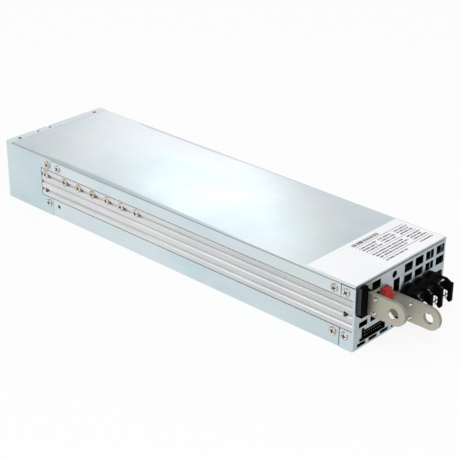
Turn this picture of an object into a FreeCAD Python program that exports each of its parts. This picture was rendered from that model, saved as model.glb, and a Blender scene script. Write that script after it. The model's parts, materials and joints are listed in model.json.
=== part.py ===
import FreeCAD, Part
import math
import os
import re

import Sketcher

# Enclosed power supply: a long folded-sheet case with a ribbed heatsink along its left side,
# output tabs, signal header and mains terminal block at the front, and two fans at the rear.
# Origin: centre of the underside. +X to the right of the front panel, +Y to the rear, +Z up.
# Driving sizes in millimetres, or degrees where the name says so.
SIZES = {
    # folded case
    "case_width": 85.0,
    "case_length": 300.0,
    "case_height": 41.0,
    "sheet_gauge": 1.0,
    "seam_gap": 0.5,
    "rear_seam": 0.2,
    "bend_radius": 0.8,
    "cover_flange": 9.0,
    "chassis_flange": 12.3,
    "ear_length": 9.3,
    "ear_corner": 1.2,
    "housing_depth": 46.8,
    "cover_setback": 6.5,
    "flange_notch_depth": 4.0,
    "flange_notch_width": 2.0,
    "flange_notch_first": 24.5,
    "flange_notch_second": 35.0,
    "cover_tab_width": 9.0,
    "cover_tab_inset": 9.0,
    "wall_tab_reach": 7.0,
    # label on the cover
    "label_length": 35.1,
    "label_thickness": 0.1,
    "label_margin": 0.6,
    # heatsink extrusion
    "heatsink_setback": 36.6,
    "heatsink_plate": 3.5,
    "heatsink_gap": 0.1,
    "heatsink_margin": 2.0,
    "groove_width": 2.4,
    "groove_floor": 1.2,
    "groove_depth": 1.1,
    "groove_pitch": 5.35,
    "side_hole_radius": 1.65,
    "side_hole_front": 6.3,
    "side_hole_rear": 40.6,
    "pilot_radius": 0.55,
    "pilot_depth": 1.6,
    "pilot_offset": 4.0,
    # case screws
    "screw_head_radius": 2.65,
    "screw_head_height": 0.7,
    "screw_shank_radius": 1.4,
    "screw_length": 4.0,
    "screw_play": 0.1,
    "ear_screw_inset": 6.0,
    "flange_screw_inset": 14.3,
    "housing_screw_inset": 42.9,
    "rear_flange_screw_inset": 53.0,
    "upper_screw_drop": 5.5,
    "lower_screw_height": 8.3,
    "tooling_hole_radius": 1.2,
    "lid_screw_radius": 1.3,
    "lid_screw_inset": 5.0,
    "device_pitch": 13.5,
    "device_first": 59.8,
    "device_screw_rise": 0.6,
    "end_screw_inset": 40.8,
    # output tabs and their insulating bushes
    "bar_thickness": 2.5,
    "bar_height": 14.0,
    "bar_tip_radius": 6.9,
    "bar_tip_flat": 0.1,
    "bolt_hole_radius": 3.25,
    "bolt_hole_inset": 7.6,
    "small_hole_radius": 1.4,
    "small_hole_setback": 12.3,
    "small_hole_spread": 4.35,
    "bar_leg_start": 9.0,
    "bar_leg_width": 19.0,
    "negative_bar_x": 9.1,
    "negative_bar_drop": 5.7,
    "negative_bar_reach": 27.0,
    "positive_bar_x": 31.8,
    "positive_bar_rise": 12.1,
    "positive_bar_reach": 34.3,
    "bush_flange": 2.2,
    "bush_boss": 3.0,
    "bush_wall": 0.4,
    "bush_play": 0.1,
    "bush_rise": 4.1,
    "bush_shoulder": 6.0,
    "bush_chamfer": 1.2,
    "negative_bush_lip": 0.6,
    "negative_bush_lead": 6.2,
    "negative_bush_foot": 5.0,
    "negative_bush_step": 2.4,
    "positive_bush_lip": 0.0,
    "positive_bush_lead": 6.9,
    "positive_bush_foot": 0.6,
    "positive_bush_step": 10.5,
    # vents in the front panel
    "vent_width": 7.6,
    "vent_pitch": 10.2,
    "vent_edge": 1.8,
    "vent_row_drop": 3.2,
    "vent_upper_height": 5.5,
    "vent_row_bar": 1.9,
    "vent_lower_height": 5.1,
    "left_vent_inset": 15.3,
    "low_vent_height": 3.4,
    "low_vent_rise": 13.2,
    "low_vent_inset": 5.1,
    "slot_inset": 4.2,
    "slot_pitch": 10.35,
    "slot_height": 2.2,
    "slot_rise": 1.2,
    # mains terminal block
    "pole_pitch": 10.0,
    "barrier_thickness": 2.0,
    "block_edge": 2.9,
    "block_flange": 3.0,
    "block_apron": 0.6,
    "block_lug": 9.0,
    "block_low": 3.0,
    "block_shoulder": 20.5,
    "block_top": 16.0,
    "block_inner_depth": 11.0,
    "block_lug_height": 21.0,
    "block_arch_radius": 7.2,
    "block_arch_top": 24.0,
    "block_arch_lead": 0.5,
    "barrier_reach": 9.4,
    "barrier_height": 17.0,
    "barrier_front_top": 15.5,
    "barrier_tip": 2.8,
    "barrier_root": 4.4,
    "barrier_toe": 1.8,
    "barrier_toe_slope": 1.6,
    "barrier_bevel": 0.8,
    "barrier_cap": 1.1,
    "barrier_notch": 0.5,
    "barrier_slope": 4.6,
    "terminal_height": 9.2,
    "terminal_plate_width": 7.5,
    "terminal_plate_height": 9.4,
    "terminal_plate_rise": 2.6,
    "terminal_plate_gauge": 1.6,
    "washer_radius": 3.7,
    "washer_gauge": 0.9,
    "terminal_head_radius": 3.4,
    "terminal_head_height": 2.6,
    "terminal_shank_radius": 1.7,
    "terminal_shank_length": 6.0,
    "terminal_play": 0.08,
    "terminal_well_radius": 2.2,
    "terminal_well_spare": 1.0,
    # signal header
    "header_x": 18.6,
    "header_length": 20.6,
    "header_height": 5.8,
    "header_depth": 8.4,
    "header_proud": 0.4,
    "header_wall": 0.8,
    "header_cavity": 4.0,
    "header_key": 1.6,
    "header_key_depth": 5.0,
    "pin_pitch": 2.0,
    "pin_size": 0.5,
    "panel_play": 0.15,
    # trimmer and selector switch behind the panel
    "trim_x": 35.7,
    "trim_drop": 5.7,
    "trim_hole_radius": 2.15,
    "trim_body_size": 6.6,
    "trim_body_depth": 5.0,
    "trim_rotor_radius": 2.0,
    "trim_rotor_length": 2.6,
    "trim_rotor_proud": 0.6,
    "trim_play": 0.08,
    "trim_slot_width": 0.6,
    "trim_slot_depth": 0.8,
    "switch_x": 38.0,
    "switch_drop": 13.95,
    "switch_width": 5.4,
    "switch_height": 9.9,
    "switch_depth": 5.8,
    "switch_pitch": 2.54,
    "switch_window_width": 5.8,
    "switch_window_height": 9.5,
    "slider_width": 1.4,
    "slider_height": 1.3,
    "slider_proud": 0.5,
    "slider_depth": 1.6,
    "slider_travel": 2.0,
    "slider_play": 0.1,
    "panel_board_setback": 6.4,
    "panel_board_width": 5.2,
    "panel_board_wing": 4.6,
    # main board
    "board_thickness": 1.6,
    "standoff_height": 1.6,
    "standoff_radius": 2.6,
    "film_thickness": 0.3,
    "film_play": 0.4,
    "board_edge_gap": 0.5,
    "board_front_gap": 2.0,
    "board_rear_gap": 4.0,
    "board_screw_radius": 2.3,
    "board_screw_height": 1.6,
    "standoff_inset": 9.4,
    "standoff_right_inset": 3.5,
    # fans and their guard rings
    "fan_clearance": 1.0,
    "fan_depth": 28.0,
    "fan_wall": 0.9,
    "fan_hub_radius": 9.0,
    "fan_tip_gap": 0.7,
    "fan_mount_thickness": 1.6,
    "fan_strut_width": 2.4,
    "fan_pin_radius": 1.0,
    "fan_pin_play": 0.06,
    "fan_hub_gap": 0.6,
    "fan_rotor_depth": 20.0,
    "fan_blade_gauge": 1.1,
    "fan_blade_margin": 2.0,
    "fan_blade_twist_degrees": 38.0,
    "fan_screw_inset": 3.0,
    "fan_screw_radius": 1.35,
    "fan_screw_head_radius": 2.4,
    "fan_screw_length": 8.0,
    "guard_hub_radius": 6.6,
    "guard_ring_pitch": 3.7,
    "guard_rib": 1.1,
    "guard_spoke": 2.4,
    # parts on the board and on the heatsink
    "device_width": 10.4,
    "device_gauge": 4.5,
    "device_height": 15.0,
    "device_hole_drop": 4.0,
    "device_lead": 0.7,
    "device_lead_pitch": 2.54,
    "bridge_length": 28.0,
    "bridge_height": 20.0,
    "bridge_gauge": 4.6,
    "bulk_radius": 10.5,
    "bulk_height": 28.0,
    "bulk_bevel": 1.0,
    "output_can_radius": 4.4,
    "output_can_height": 18.0,
    "output_can_pitch": 9.6,
    "output_can_gap": 2.6,
    "film_can_length": 25.0,
    "film_can_width": 8.6,
    "film_can_height": 16.0,
    "mains_inset": 6.0,
    "line_choke_radius": 13.0,
    "line_choke_eye": 4.2,
    "line_choke_height": 8.8,
    "line_choke_inset": 18.5,
    "boost_choke_radius": 16.6,
    "boost_choke_eye": 6.2,
    "boost_choke_height": 10.4,
    "boost_choke_inset": 21.0,
    "output_choke_radius": 11.2,
    "output_choke_eye": 3.6,
    "output_choke_height": 7.6,
    "output_choke_inset": 17.0,
    "choke_bevel": 2.0,
    "relay_length": 26.0,
    "relay_width": 12.0,
    "relay_height": 15.0,
    "core_length": 32.0,
    "core_width": 27.0,
    "core_height": 26.0,
    "core_leg": 6.0,
    "core_inset": 14.0,
    "winding_gap": 0.4,
    "winding_bulge": 1.2,
    "daughter_board_length": 40.0,
    "daughter_board_height": 24.0,
    "daughter_board_inset": 26.0,
    "daughter_board_gap": 4.0,
}
POLES = range(3)
SWITCHES = range(3)
DEVICES = range(6)
GROOVES = (-1, 0, 1)
BLADES = 7
BLADE_SECTIONS = 3
PINS_PER_ROW = 8
VENT_COLUMNS = range(4)
GUARD_RINGS = range(3)
# Where parts stand along the board, as shares of its length from the front.
BOARD_SHARES = {
    "film_cans": (0.068, 0.121),
    "line_choke": 0.203,
    "output_choke": 0.225,
    "relay": 0.31,
    "boost_choke": 0.432,
    "bridge": 0.44,
    "bulk_cans": (0.575, 0.672, 0.769),
    "transformer": 0.66,
    "left_standoffs": (0.315, 0.55, 0.965),
    "right_standoffs": (0.155, 0.508, 0.965),
}
# How close to a face an edge has to lie to be picked as one of that face's.
NEAR = 0.01

doc = FreeCAD.newDocument("enclosed_power_supply")
sheet = doc.addObject("Spreadsheet::Sheet", "Sizes")
for row, (alias, value) in enumerate(SIZES.items(), start=1):
    sheet.set(f"A{row}", alias)
    sheet.set(f"B{row}", str(value))
    sheet.setAlias(f"B{row}", alias)
doc.recompute()

# Places that several pieces share, as expressions of the driving sizes.
LEFT = "(-case_width / 2)"
RIGHT = "(case_width / 2)"
FRONT = "(-case_length / 2)"
REAR = "(case_length / 2)"
TOP = "case_height"
COVER_UNDER = "(case_height - sheet_gauge)"
PANEL_BACK = f"({FRONT} + sheet_gauge)"
PANEL_TOP = f"({COVER_UNDER} - seam_gap)"
EAR_END = f"({FRONT} + ear_length)"
SIDE_START = f"({REAR} - housing_depth)"
COVER_END = f"({REAR} - cover_setback)"
COVER_SKIRT = "(case_height - cover_flange)"
SINK_REAR = f"({REAR} - heatsink_setback)"
SINK_FACE = f"({LEFT} + sheet_gauge + heatsink_gap)"
SINK_INNER = f"({SINK_FACE} + heatsink_plate)"
BAND_MID = f"((chassis_flange + {COVER_SKIRT}) / 2)"
RIGHT_INNER = f"({RIGHT} - 2 * sheet_gauge)"
UPPER_SCREW = "(case_height - upper_screw_drop)"
DEVICE_Z = f"({BAND_MID} + groove_pitch + device_screw_rise)"
NEGATIVE_X = f"({LEFT} + negative_bar_x)"
NEGATIVE_Z = "(case_height - negative_bar_drop - bar_height)"
POSITIVE_X = f"({LEFT} + positive_bar_x)"
POSITIVE_Z = "positive_bar_rise"
BOARD_LOW = "(sheet_gauge + standoff_height)"
BOARD_TOP = f"({BOARD_LOW} + board_thickness)"
BOARD_LEFT = f"({SINK_INNER} + board_edge_gap)"
BOARD_RIGHT = f"({RIGHT_INNER} - board_edge_gap)"
FAN_SIZE = (
    "(min(case_height - 2 * sheet_gauge - fan_clearance;"
    " case_width / 2 - sheet_gauge - fan_clearance))"
)
FAN_REAR = f"({REAR} - sheet_gauge)"
FAN_FRONT = f"({FAN_REAR} - fan_depth)"
FAN_BORE = f"({FAN_SIZE} / 2 - fan_wall)"
FAN_X = f"({FAN_SIZE} / 2 + fan_clearance - fan_wall / 2)"
FAN_Z = f"(sheet_gauge + {FAN_SIZE} / 2)"
FAN_SCREW = f"({FAN_SIZE} / 2 - fan_screw_inset)"
BOARD_FRONT = f"({PANEL_BACK} + board_front_gap)"
BOARD_REAR = f"({FAN_FRONT} - board_rear_gap)"
BOARD_LENGTH = f"({BOARD_REAR} - {BOARD_FRONT})"
BLOCK_RIGHT = f"({RIGHT} - block_edge)"
BLOCK_LEFT = f"({BLOCK_RIGHT} - 3 * pole_pitch - barrier_thickness)"
BLOCK_INNER_RIGHT = f"({BLOCK_RIGHT} - barrier_thickness)"
BLOCK_FACE = f"({FRONT} - block_flange)"
PLATE_FACE = f"({BLOCK_FACE} - terminal_plate_gauge)"
WASHER_FACE = f"({PLATE_FACE} - washer_gauge)"
SWITCH_X = f"({LEFT} + switch_x)"
SWITCH_Z = "(case_height - switch_drop)"
TRIM_X = f"({LEFT} + trim_x)"
TRIM_Z = "(case_height - trim_drop)"
PANEL_BOARD = f"({PANEL_BACK} + panel_board_setback)"
TURNS = {
    "x": FreeCAD.Rotation(FreeCAD.Vector(0, 1, 0), 90),
    "y": FreeCAD.Rotation(FreeCAD.Vector(1, 0, 0), -90),
    "z": FreeCAD.Rotation(),
}
pieces = {}


def bound(text):
    """The text with each driving size written as its cell."""
    word = re.compile(r"[a-z][a-z0-9_]*")
    return word.sub(lambda found: f"Sizes.{found[0]}" if found[0] in SIZES else found[0], text)


def bind(item, place, text):
    item.setExpression(place, bound(text))


def keep(item, node):
    """Names a finished sub-part: the label is the name of its file."""
    item.Label = node
    pieces[node] = item
    return item


def block(name, x, y, z):
    """A straight block between two places on each axis."""
    item = doc.addObject("Part::Box", name)
    for side, axis, (low, high) in (("Length", "x", x), ("Width", "y", y), ("Height", "z", z)):
        bind(item, side, f"({high}) - ({low})")
        bind(item, f"Placement.Base.{axis}", low)
    return item


def rod(name, axis, radius, low, high, **centre):
    """A cylinder along one axis, from low to high, centred on the two other axes."""
    item = doc.addObject("Part::Cylinder", name)
    item.Placement = FreeCAD.Placement(FreeCAD.Vector(), TURNS[axis])
    bind(item, "Radius", radius)
    bind(item, "Height", f"({high}) - ({low})")
    bind(item, f"Placement.Base.{axis}", low)
    for other, text in centre.items():
        bind(item, f"Placement.Base.{other}", text)
    return item


def union(name, items):
    if len(items) == 1:
        return items[0]
    item = doc.addObject("Part::MultiFuse", name)
    item.Shapes = items
    item.Refine = True
    return item


def minus(name, base, tools):
    item = doc.addObject("Part::Cut", name)
    item.Base = base
    item.Tool = union(f"{name}_cutters", tools)
    item.Refine = True
    return item


def group(name, items):
    """Separate like solids that share one node."""
    item = doc.addObject("Part::Compound", name)
    item.Links = items
    return item


def rounded(name, base, radius, wanted, kind="Part::Fillet"):
    """The base with its wanted edges rounded, or bevelled."""
    doc.recompute()
    item = doc.addObject(kind, name)
    item.Base = base
    size = float(sheet.get(radius))
    item.Edges = [
        (number, size, size)
        for number, edge in enumerate(base.Shape.Edges, start=1)
        if wanted(edge.BoundBox)
    ]
    return item


def sketch_on(body, plane, offset, name):
    sketch = body.newObject("Sketcher::SketchObject", name)
    support = next(item for item in body.Origin.OriginFeatures if item.Role == plane)
    sketch.AttachmentSupport = [(support, "")]
    sketch.MapMode = "FlatFace"
    bind(sketch, "AttachmentOffset.Base.z", offset)
    return sketch


def hold(sketch, kind, refs, start, text):
    """A dimension that follows an expression."""
    number = sketch.addConstraint(Sketcher.Constraint(kind, *refs, start))
    bind(sketch, f"Constraints[{number}]", text)


def trace(sketch, corners):
    """A closed outline of straight edges through corners given as two expressions each."""
    first = sketch.GeometryCount
    count = len(corners)
    turn = 2 * math.pi / count
    rough = [FreeCAD.Vector(math.cos(turn * k), math.sin(turn * k), 0) for k in range(count)]
    for k in range(count):
        sketch.addGeometry(Part.LineSegment(rough[k], rough[(k + 1) % count]))
    for k in range(count):
        after = first + (k + 1) % count
        sketch.addConstraint(Sketcher.Constraint("Coincident", first + k, 2, after, 1))
    for k, (across, up) in enumerate(corners):
        hold(sketch, "DistanceX", (-1, 1, first + k, 1), rough[k].x, across)
        hold(sketch, "DistanceY", (-1, 1, first + k, 1), rough[k].y, up)


def circle(sketch, across, up, radius):
    rough = FreeCAD.Vector(1, 1, 0)
    number = sketch.addGeometry(Part.Circle(rough, FreeCAD.Vector(0, 0, 1), 1))
    hold(sketch, "DistanceX", (-1, 1, number, 3), rough.x, across)
    hold(sketch, "DistanceY", (-1, 1, number, 3), rough.y, up)
    hold(sketch, "Radius", (number,), 1, radius)


def profile(name, plane, low, high, corners, holes=()):
    """A body padded from one outline; low and high lie along the plane's own axis."""
    body = doc.addObject("PartDesign::Body", name)
    offset = f"-({high})" if plane == "XZ_Plane" else low
    sketch = sketch_on(body, plane, offset, f"{name}_outline")
    trace(sketch, corners)
    for across, up, radius in holes:
        circle(sketch, across, up, radius)
    pad = body.newObject("PartDesign::Pad", f"{name}_pad")
    pad.Profile = sketch
    bind(pad, "Length", f"({high}) - ({low})")
    return body


def side_screws():
    """Across and up places of the screws that close both long sides."""
    ear = f"({FRONT} + ear_screw_inset)"
    flange = f"({FRONT} + flange_screw_inset)"
    housing = f"({REAR} - housing_screw_inset)"
    skirt = f"({REAR} - rear_flange_screw_inset)"
    low = "lower_screw_height"
    return {
        "ear": ((ear, UPPER_SCREW), (ear, low)),
        "cover": ((flange, UPPER_SCREW), (skirt, UPPER_SCREW)),
        "chassis": ((flange, low),),
        "housing": ((housing, UPPER_SCREW), (housing, low)),
    }


def side_holes(name, places, radius, x):
    return [
        rod(f"{name}_hole", "x", radius, x[0], x[1], y=y, z=z)
        for y, z in places
    ]


def both_sides(name, places):
    """Screw clearance holes through the left and right sheet walls."""
    radius = "screw_shank_radius + screw_play"
    return side_holes(name, places, radius, (LEFT, f"{LEFT} + sheet_gauge")) + side_holes(
        name, places, radius, (f"{RIGHT} - sheet_gauge", RIGHT)
    )


def make_bottom_chassis():
    """Base sheet with the left flange, the joggled right wall and its screw tabs."""
    flange_y = (f"{EAR_END} + seam_gap", f"{SIDE_START} - rear_seam")
    tab_y = (f"{EAR_END} - wall_tab_reach", f"{SIDE_START} + wall_tab_reach")
    front_y = (tab_y[0], f"{flange_y[0]} + sheet_gauge")
    rear_y = (f"{flange_y[1]} - sheet_gauge", tab_y[1])
    joggle = f"{COVER_SKIRT} - seam_gap - sheet_gauge"
    wall_x = (f"{RIGHT} - sheet_gauge", RIGHT)
    inner_x = (f"{RIGHT} - 2 * sheet_gauge", f"{RIGHT} - sheet_gauge")
    base_x = (f"{LEFT} + sheet_gauge", f"{RIGHT} - sheet_gauge")
    shell = union("chassis_shell", [
        block("chassis_base", base_x, (PANEL_BACK, FAN_REAR), ("0", "sheet_gauge")),
        block("chassis_left", (LEFT, f"{LEFT} + sheet_gauge"), flange_y, ("0", "chassis_flange")),
        block("chassis_right", wall_x, flange_y, ("0", f"{COVER_SKIRT} - seam_gap")),
        block("chassis_step", (inner_x[0], RIGHT), flange_y, (joggle, f"{COVER_SKIRT} - seam_gap")),
        block("chassis_upper", inner_x, tab_y, (joggle, f"{COVER_UNDER} - seam_gap")),
        block("chassis_front_tab", inner_x, front_y, ("0", "chassis_flange")),
        block("chassis_rear_tab", inner_x, rear_y, ("0", "chassis_flange")),
    ])
    screws = side_screws()
    backed = screws["ear"] + screws["cover"] + screws["housing"]
    radius = "screw_shank_radius + screw_play"
    holes = both_sides("chassis", screws["chassis"])
    tooling = [(f"{REAR} - rear_flange_screw_inset", "lower_screw_height")]
    holes += side_holes("tooling", tooling, "tooling_hole_radius", (LEFT, f"{LEFT} + sheet_gauge"))
    holes += side_holes("chassis_tab", backed, radius, inner_x)
    drilled = minus("chassis_drilled", shell, holes)
    outer = float(sheet.get("case_width")) / 2
    bends = rounded(
        "chassis_bends", drilled, "bend_radius",
        lambda box: abs(box.XMin) > outer - NEAR and box.XLength < NEAR and box.ZMax < NEAR,
    )
    keep(bends, "bottom_chassis")


def make_top_cover():
    """Lid sheet with two side skirts and two joggled tabs under the rear flange."""
    skirt_y = (f"{EAR_END} + seam_gap", f"{SIDE_START} - rear_seam")
    skirt_z = (COVER_SKIRT, TOP)
    tab_z = (f"{COVER_UNDER} - sheet_gauge", COVER_UNDER)
    tab_y = (f"{COVER_END} - cover_tab_width / 2", f"{FAN_REAR} - seam_gap")
    tabs = []
    screws = []
    for side, sign in (("left", "-1"), ("right", "1")):
        middle = f"({sign} * (case_width / 2 - cover_tab_inset))"
        tab_x = (f"{middle} - cover_tab_width / 2", f"{middle} + cover_tab_width / 2")
        tabs.append(block(f"cover_tab_{side}", tab_x, tab_y, tab_z))
        place = {"x": middle, "y": f"{REAR} - lid_screw_inset + sheet_gauge"}
        screws.append(rod(f"cover_tab_hole_{side}", "z", "lid_screw_radius", *tab_z, **place))
    shell = union("cover_shell", [
        block("cover_top", (LEFT, RIGHT), (FRONT, COVER_END), (COVER_UNDER, TOP)),
        block("cover_left", (LEFT, f"{LEFT} + sheet_gauge"), skirt_y, skirt_z),
        block("cover_right", (f"{RIGHT} - sheet_gauge", RIGHT), skirt_y, skirt_z),
    ] + tabs)
    drilled = minus("cover_drilled", shell, both_sides("cover", side_screws()["cover"]) + screws)
    outer = float(sheet.get("case_width")) / 2
    high = float(sheet.get("case_height"))
    bends = rounded(
        "cover_bends", drilled, "bend_radius",
        lambda box: abs(box.XMin) > outer - NEAR and box.XLength < NEAR and box.ZMin > high - NEAR,
    )
    keep(bends, "top_cover")


def make_label():
    x = (f"{LEFT} + label_margin + bend_radius", f"{RIGHT} - label_margin - bend_radius")
    y = (f"{FRONT} + label_margin", f"{FRONT} + label_margin + label_length")
    keep(block("label", x, y, (TOP, f"{TOP} + label_thickness")), "label_sticker")


def vent(name, x, z):
    return block(name, x, (FRONT, PANEL_BACK), z)


def front_vents():
    """The punched vents of the front panel: eight at the right, the rest round the tabs."""
    upper = (f"{TOP} - vent_row_drop - vent_upper_height", f"{TOP} - vent_row_drop")
    lower_top = f"{upper[0]} - vent_row_bar"
    lower = (f"{lower_top} - vent_lower_height", lower_top)
    holes = []
    for column in VENT_COLUMNS:
        right = f"{RIGHT} - vent_edge - {column} * vent_pitch"
        for row_z in (upper, lower):
            holes.append(vent("vent_right", (f"{right} - vent_width", right), row_z))
        slot = f"{LEFT} + slot_inset + {column} * slot_pitch"
        slot_z = ("slot_rise", "slot_rise + slot_height")
        holes.append(vent("vent_slot", (slot, f"{slot} + vent_width"), slot_z))
    left = f"{LEFT} + left_vent_inset"
    for row_z in (upper, lower):
        holes.append(vent("vent_left", (left, f"{left} + vent_width"), row_z))
    low_z = ("low_vent_rise", "low_vent_rise + low_vent_height")
    for column in range(2):
        low = f"{LEFT} + low_vent_inset + {column} * vent_pitch"
        holes.append(vent("vent_low", (low, f"{low} + vent_width"), low_z))
    return holes


def bush_boss(bar_x, bar_z, play):
    """Across and up limits of a bush's boss round its tab, with play outside it."""
    wall = f"(bush_wall + {play})"
    x = (f"{bar_x} - {wall}", f"{bar_x} + bar_thickness + {wall}")
    z = (f"{bar_z} - {wall}", f"{bar_z} + bar_height + {wall}")
    return x, z


def header_limits():
    middle = f"({LEFT} + header_x)"
    x = (f"{middle} - header_length / 2", f"{middle} + header_length / 2")
    return x, (BOARD_TOP, f"{BOARD_TOP} + header_height")


def header_keys():
    """The two keying ribs at the left end of the signal header."""
    (left, _), (low, high) = header_limits()
    x = (f"{left} - header_key", left)
    return (
        (x, (low, f"{low} + header_key")),
        ((left, f"{left} + header_key"), (high, f"{high} + header_key")),
    )


def make_front_panel():
    """Flat punched panel: two short ears folded back at the left and a full one at the right."""
    ear_y = (FRONT, EAR_END)
    left_x = (LEFT, f"{LEFT} + sheet_gauge")
    ears = [
        block("panel_ear_upper", left_x, ear_y, (COVER_SKIRT, PANEL_TOP)),
        block("panel_ear_lower", left_x, ear_y, ("0", "chassis_flange")),
        block("panel_ear_right", (f"{RIGHT} - sheet_gauge", RIGHT), ear_y, ("0", PANEL_TOP)),
    ]
    plate = block("panel_plate", (LEFT, RIGHT), (FRONT, PANEL_BACK), ("0", PANEL_TOP))
    shell = union("panel_shell", [plate] + ears)
    holes = front_vents() + both_sides("panel", side_screws()["ear"])
    for bar_x, bar_z in ((NEGATIVE_X, NEGATIVE_Z), (POSITIVE_X, POSITIVE_Z)):
        holes.append(vent("panel_bush", *bush_boss(bar_x, bar_z, "bush_play")))
    (left, right), (low, high) = header_limits()
    header_x = (f"{left} - panel_play", f"{right} + panel_play")
    holes.append(vent("panel_header", header_x, (f"{low} - panel_play", f"{high} + panel_play")))
    for (key_left, key_right), (key_low, key_high) in header_keys():
        key_x = (f"{key_left} - panel_play", f"{key_right} + panel_play")
        key_z = (f"{key_low} - panel_play", f"{key_high} + panel_play")
        holes.append(vent("panel_key", key_x, key_z))
    holes.append(rod("panel_trim", "y", "trim_hole_radius", FRONT, PANEL_BACK, x=TRIM_X, z=TRIM_Z))
    window_x = (f"{SWITCH_X} - switch_window_width / 2", f"{SWITCH_X} + switch_window_width / 2")
    window_z = (f"{SWITCH_Z} - switch_window_height / 2", f"{SWITCH_Z} + switch_window_height / 2")
    holes.append(vent("panel_switch", window_x, window_z))
    block_x = (f"{BLOCK_LEFT} - panel_play", f"{BLOCK_INNER_RIGHT} + panel_play")
    block_z = (f"{BOARD_TOP} - panel_play", "block_top + panel_play")
    holes.append(vent("panel_block", block_x, block_z))
    punched = minus("panel_punched", shell, holes)
    outer = float(sheet.get("case_width")) / 2
    front = -float(sheet.get("case_length")) / 2
    bends = rounded(
        "panel_bends", punched, "bend_radius",
        lambda box: abs(box.XMin) > outer - NEAR and box.XLength < NEAR
        and box.YMax < front + NEAR,
    )
    left_corners = ("chassis_flange", "cover_flange")
    corner_heights = [float(sheet.get(name)) for name in left_corners]
    corner_heights[1] = float(sheet.get("case_height")) - corner_heights[1]
    ear_end = front + float(sheet.get("ear_length"))
    corners = rounded(
        "panel_corners", bends, "ear_corner",
        lambda box: box.XMax < 0 and box.YMin > ear_end - NEAR and box.YLength < NEAR
        and box.ZLength < NEAR and min(abs(box.ZMin - height) for height in corner_heights) < NEAR,
    )
    keep(corners, "front_panel")


def guard_cutter(side, middle):
    """Three ring-shaped openings in front of one fan, left in quarters by a cross of spokes."""
    rings = []
    for number in GUARD_RINGS:
        inner = f"guard_hub_radius + {number} * guard_ring_pitch"
        outer = f"{inner} + guard_ring_pitch - guard_rib"
        place = {"x": middle, "z": FAN_Z}
        whole = rod(f"guard_outer_{side}", "y", outer, FAN_REAR, REAR, **place)
        core = rod(f"guard_inner_{side}", "y", inner, FAN_REAR, REAR, **place)
        rings.append(minus(f"guard_ring_{side}", whole, [core]))
    reach = f"{FAN_SIZE} / 2"
    across = (f"{middle} - {reach}", f"{middle} + {reach}")
    tall = (f"{FAN_Z} - {reach}", f"{FAN_Z} + {reach}")
    thin_x = (f"{middle} - guard_spoke / 2", f"{middle} + guard_spoke / 2")
    thin_z = (f"{FAN_Z} - guard_spoke / 2", f"{FAN_Z} + guard_spoke / 2")
    spokes = [
        block(f"guard_level_{side}", across, (FAN_REAR, REAR), thin_z),
        block(f"guard_upright_{side}", thin_x, (FAN_REAR, REAR), tall),
    ]
    return minus(f"guard_{side}", union(f"guard_rings_{side}", rings), spokes)


def fan_corners(middle):
    return [
        (f"{middle} + {across} * {FAN_SCREW}", f"{FAN_Z} + {up} * {FAN_SCREW}")
        for across in (-1, 1)
        for up in (-1, 1)
    ]


def fans():
    return (("left", f"(-{FAN_X})"), ("right", FAN_X))


def make_rear_housing():
    """Rear wall with the fan guards, folded into both sides and a narrow top flange."""
    side_y = (SIDE_START, REAR)
    wall_z = ("0", COVER_UNDER)
    flange_y = (f"{COVER_END} + rear_seam", REAR)
    shell = union("housing_shell", [
        block("housing_left", (LEFT, f"{LEFT} + sheet_gauge"), side_y, wall_z),
        block("housing_right", (f"{RIGHT} - sheet_gauge", RIGHT), side_y, wall_z),
        block("housing_rear", (LEFT, RIGHT), (FAN_REAR, REAR), ("0", TOP)),
        block("housing_flange", (LEFT, RIGHT), flange_y, (COVER_UNDER, TOP)),
    ])
    window = block(
        "housing_window", (LEFT, f"{LEFT} + sheet_gauge"),
        (SIDE_START, f"{SINK_REAR} + seam_gap"), ("chassis_flange", COVER_SKIRT),
    )
    holes = [window] + both_sides("housing", side_screws()["housing"])
    for first in ("flange_notch_first", "flange_notch_second"):
        notch_x = (f"{LEFT} + {first}", f"{LEFT} + {first} + flange_notch_width")
        notch_y = (f"{REAR} - flange_notch_depth", REAR)
        holes.append(block("housing_notch", notch_x, notch_y, (COVER_UNDER, TOP)))
    for sign in ("-1", "1"):
        place = {"x": f"{sign} * (case_width / 2 - cover_tab_inset)"}
        place["y"] = f"{REAR} - lid_screw_inset + sheet_gauge"
        holes.append(rod("housing_lid_hole", "z", "lid_screw_radius", COVER_UNDER, TOP, **place))
    for side, middle in fans():
        holes.append(guard_cutter(side, middle))
        for x, z in fan_corners(middle):
            radius = "fan_screw_radius + screw_play"
            holes.append(rod("housing_fan_hole", "y", radius, FAN_REAR, REAR, x=x, z=z))
    punched = minus("housing_punched", shell, holes)
    outer = float(sheet.get("case_width")) / 2
    back = float(sheet.get("case_length")) / 2
    bends = rounded(
        "housing_bends", punched, "bend_radius",
        lambda box: abs(box.XMin) > outer - NEAR and box.XLength < NEAR
        and box.YMin > back - NEAR,
    )
    keep(bends, "rear_fan_housing")


def device_places():
    return [(f"{REAR} - device_first - {number} * device_pitch", DEVICE_Z) for number in DEVICES]


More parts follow.
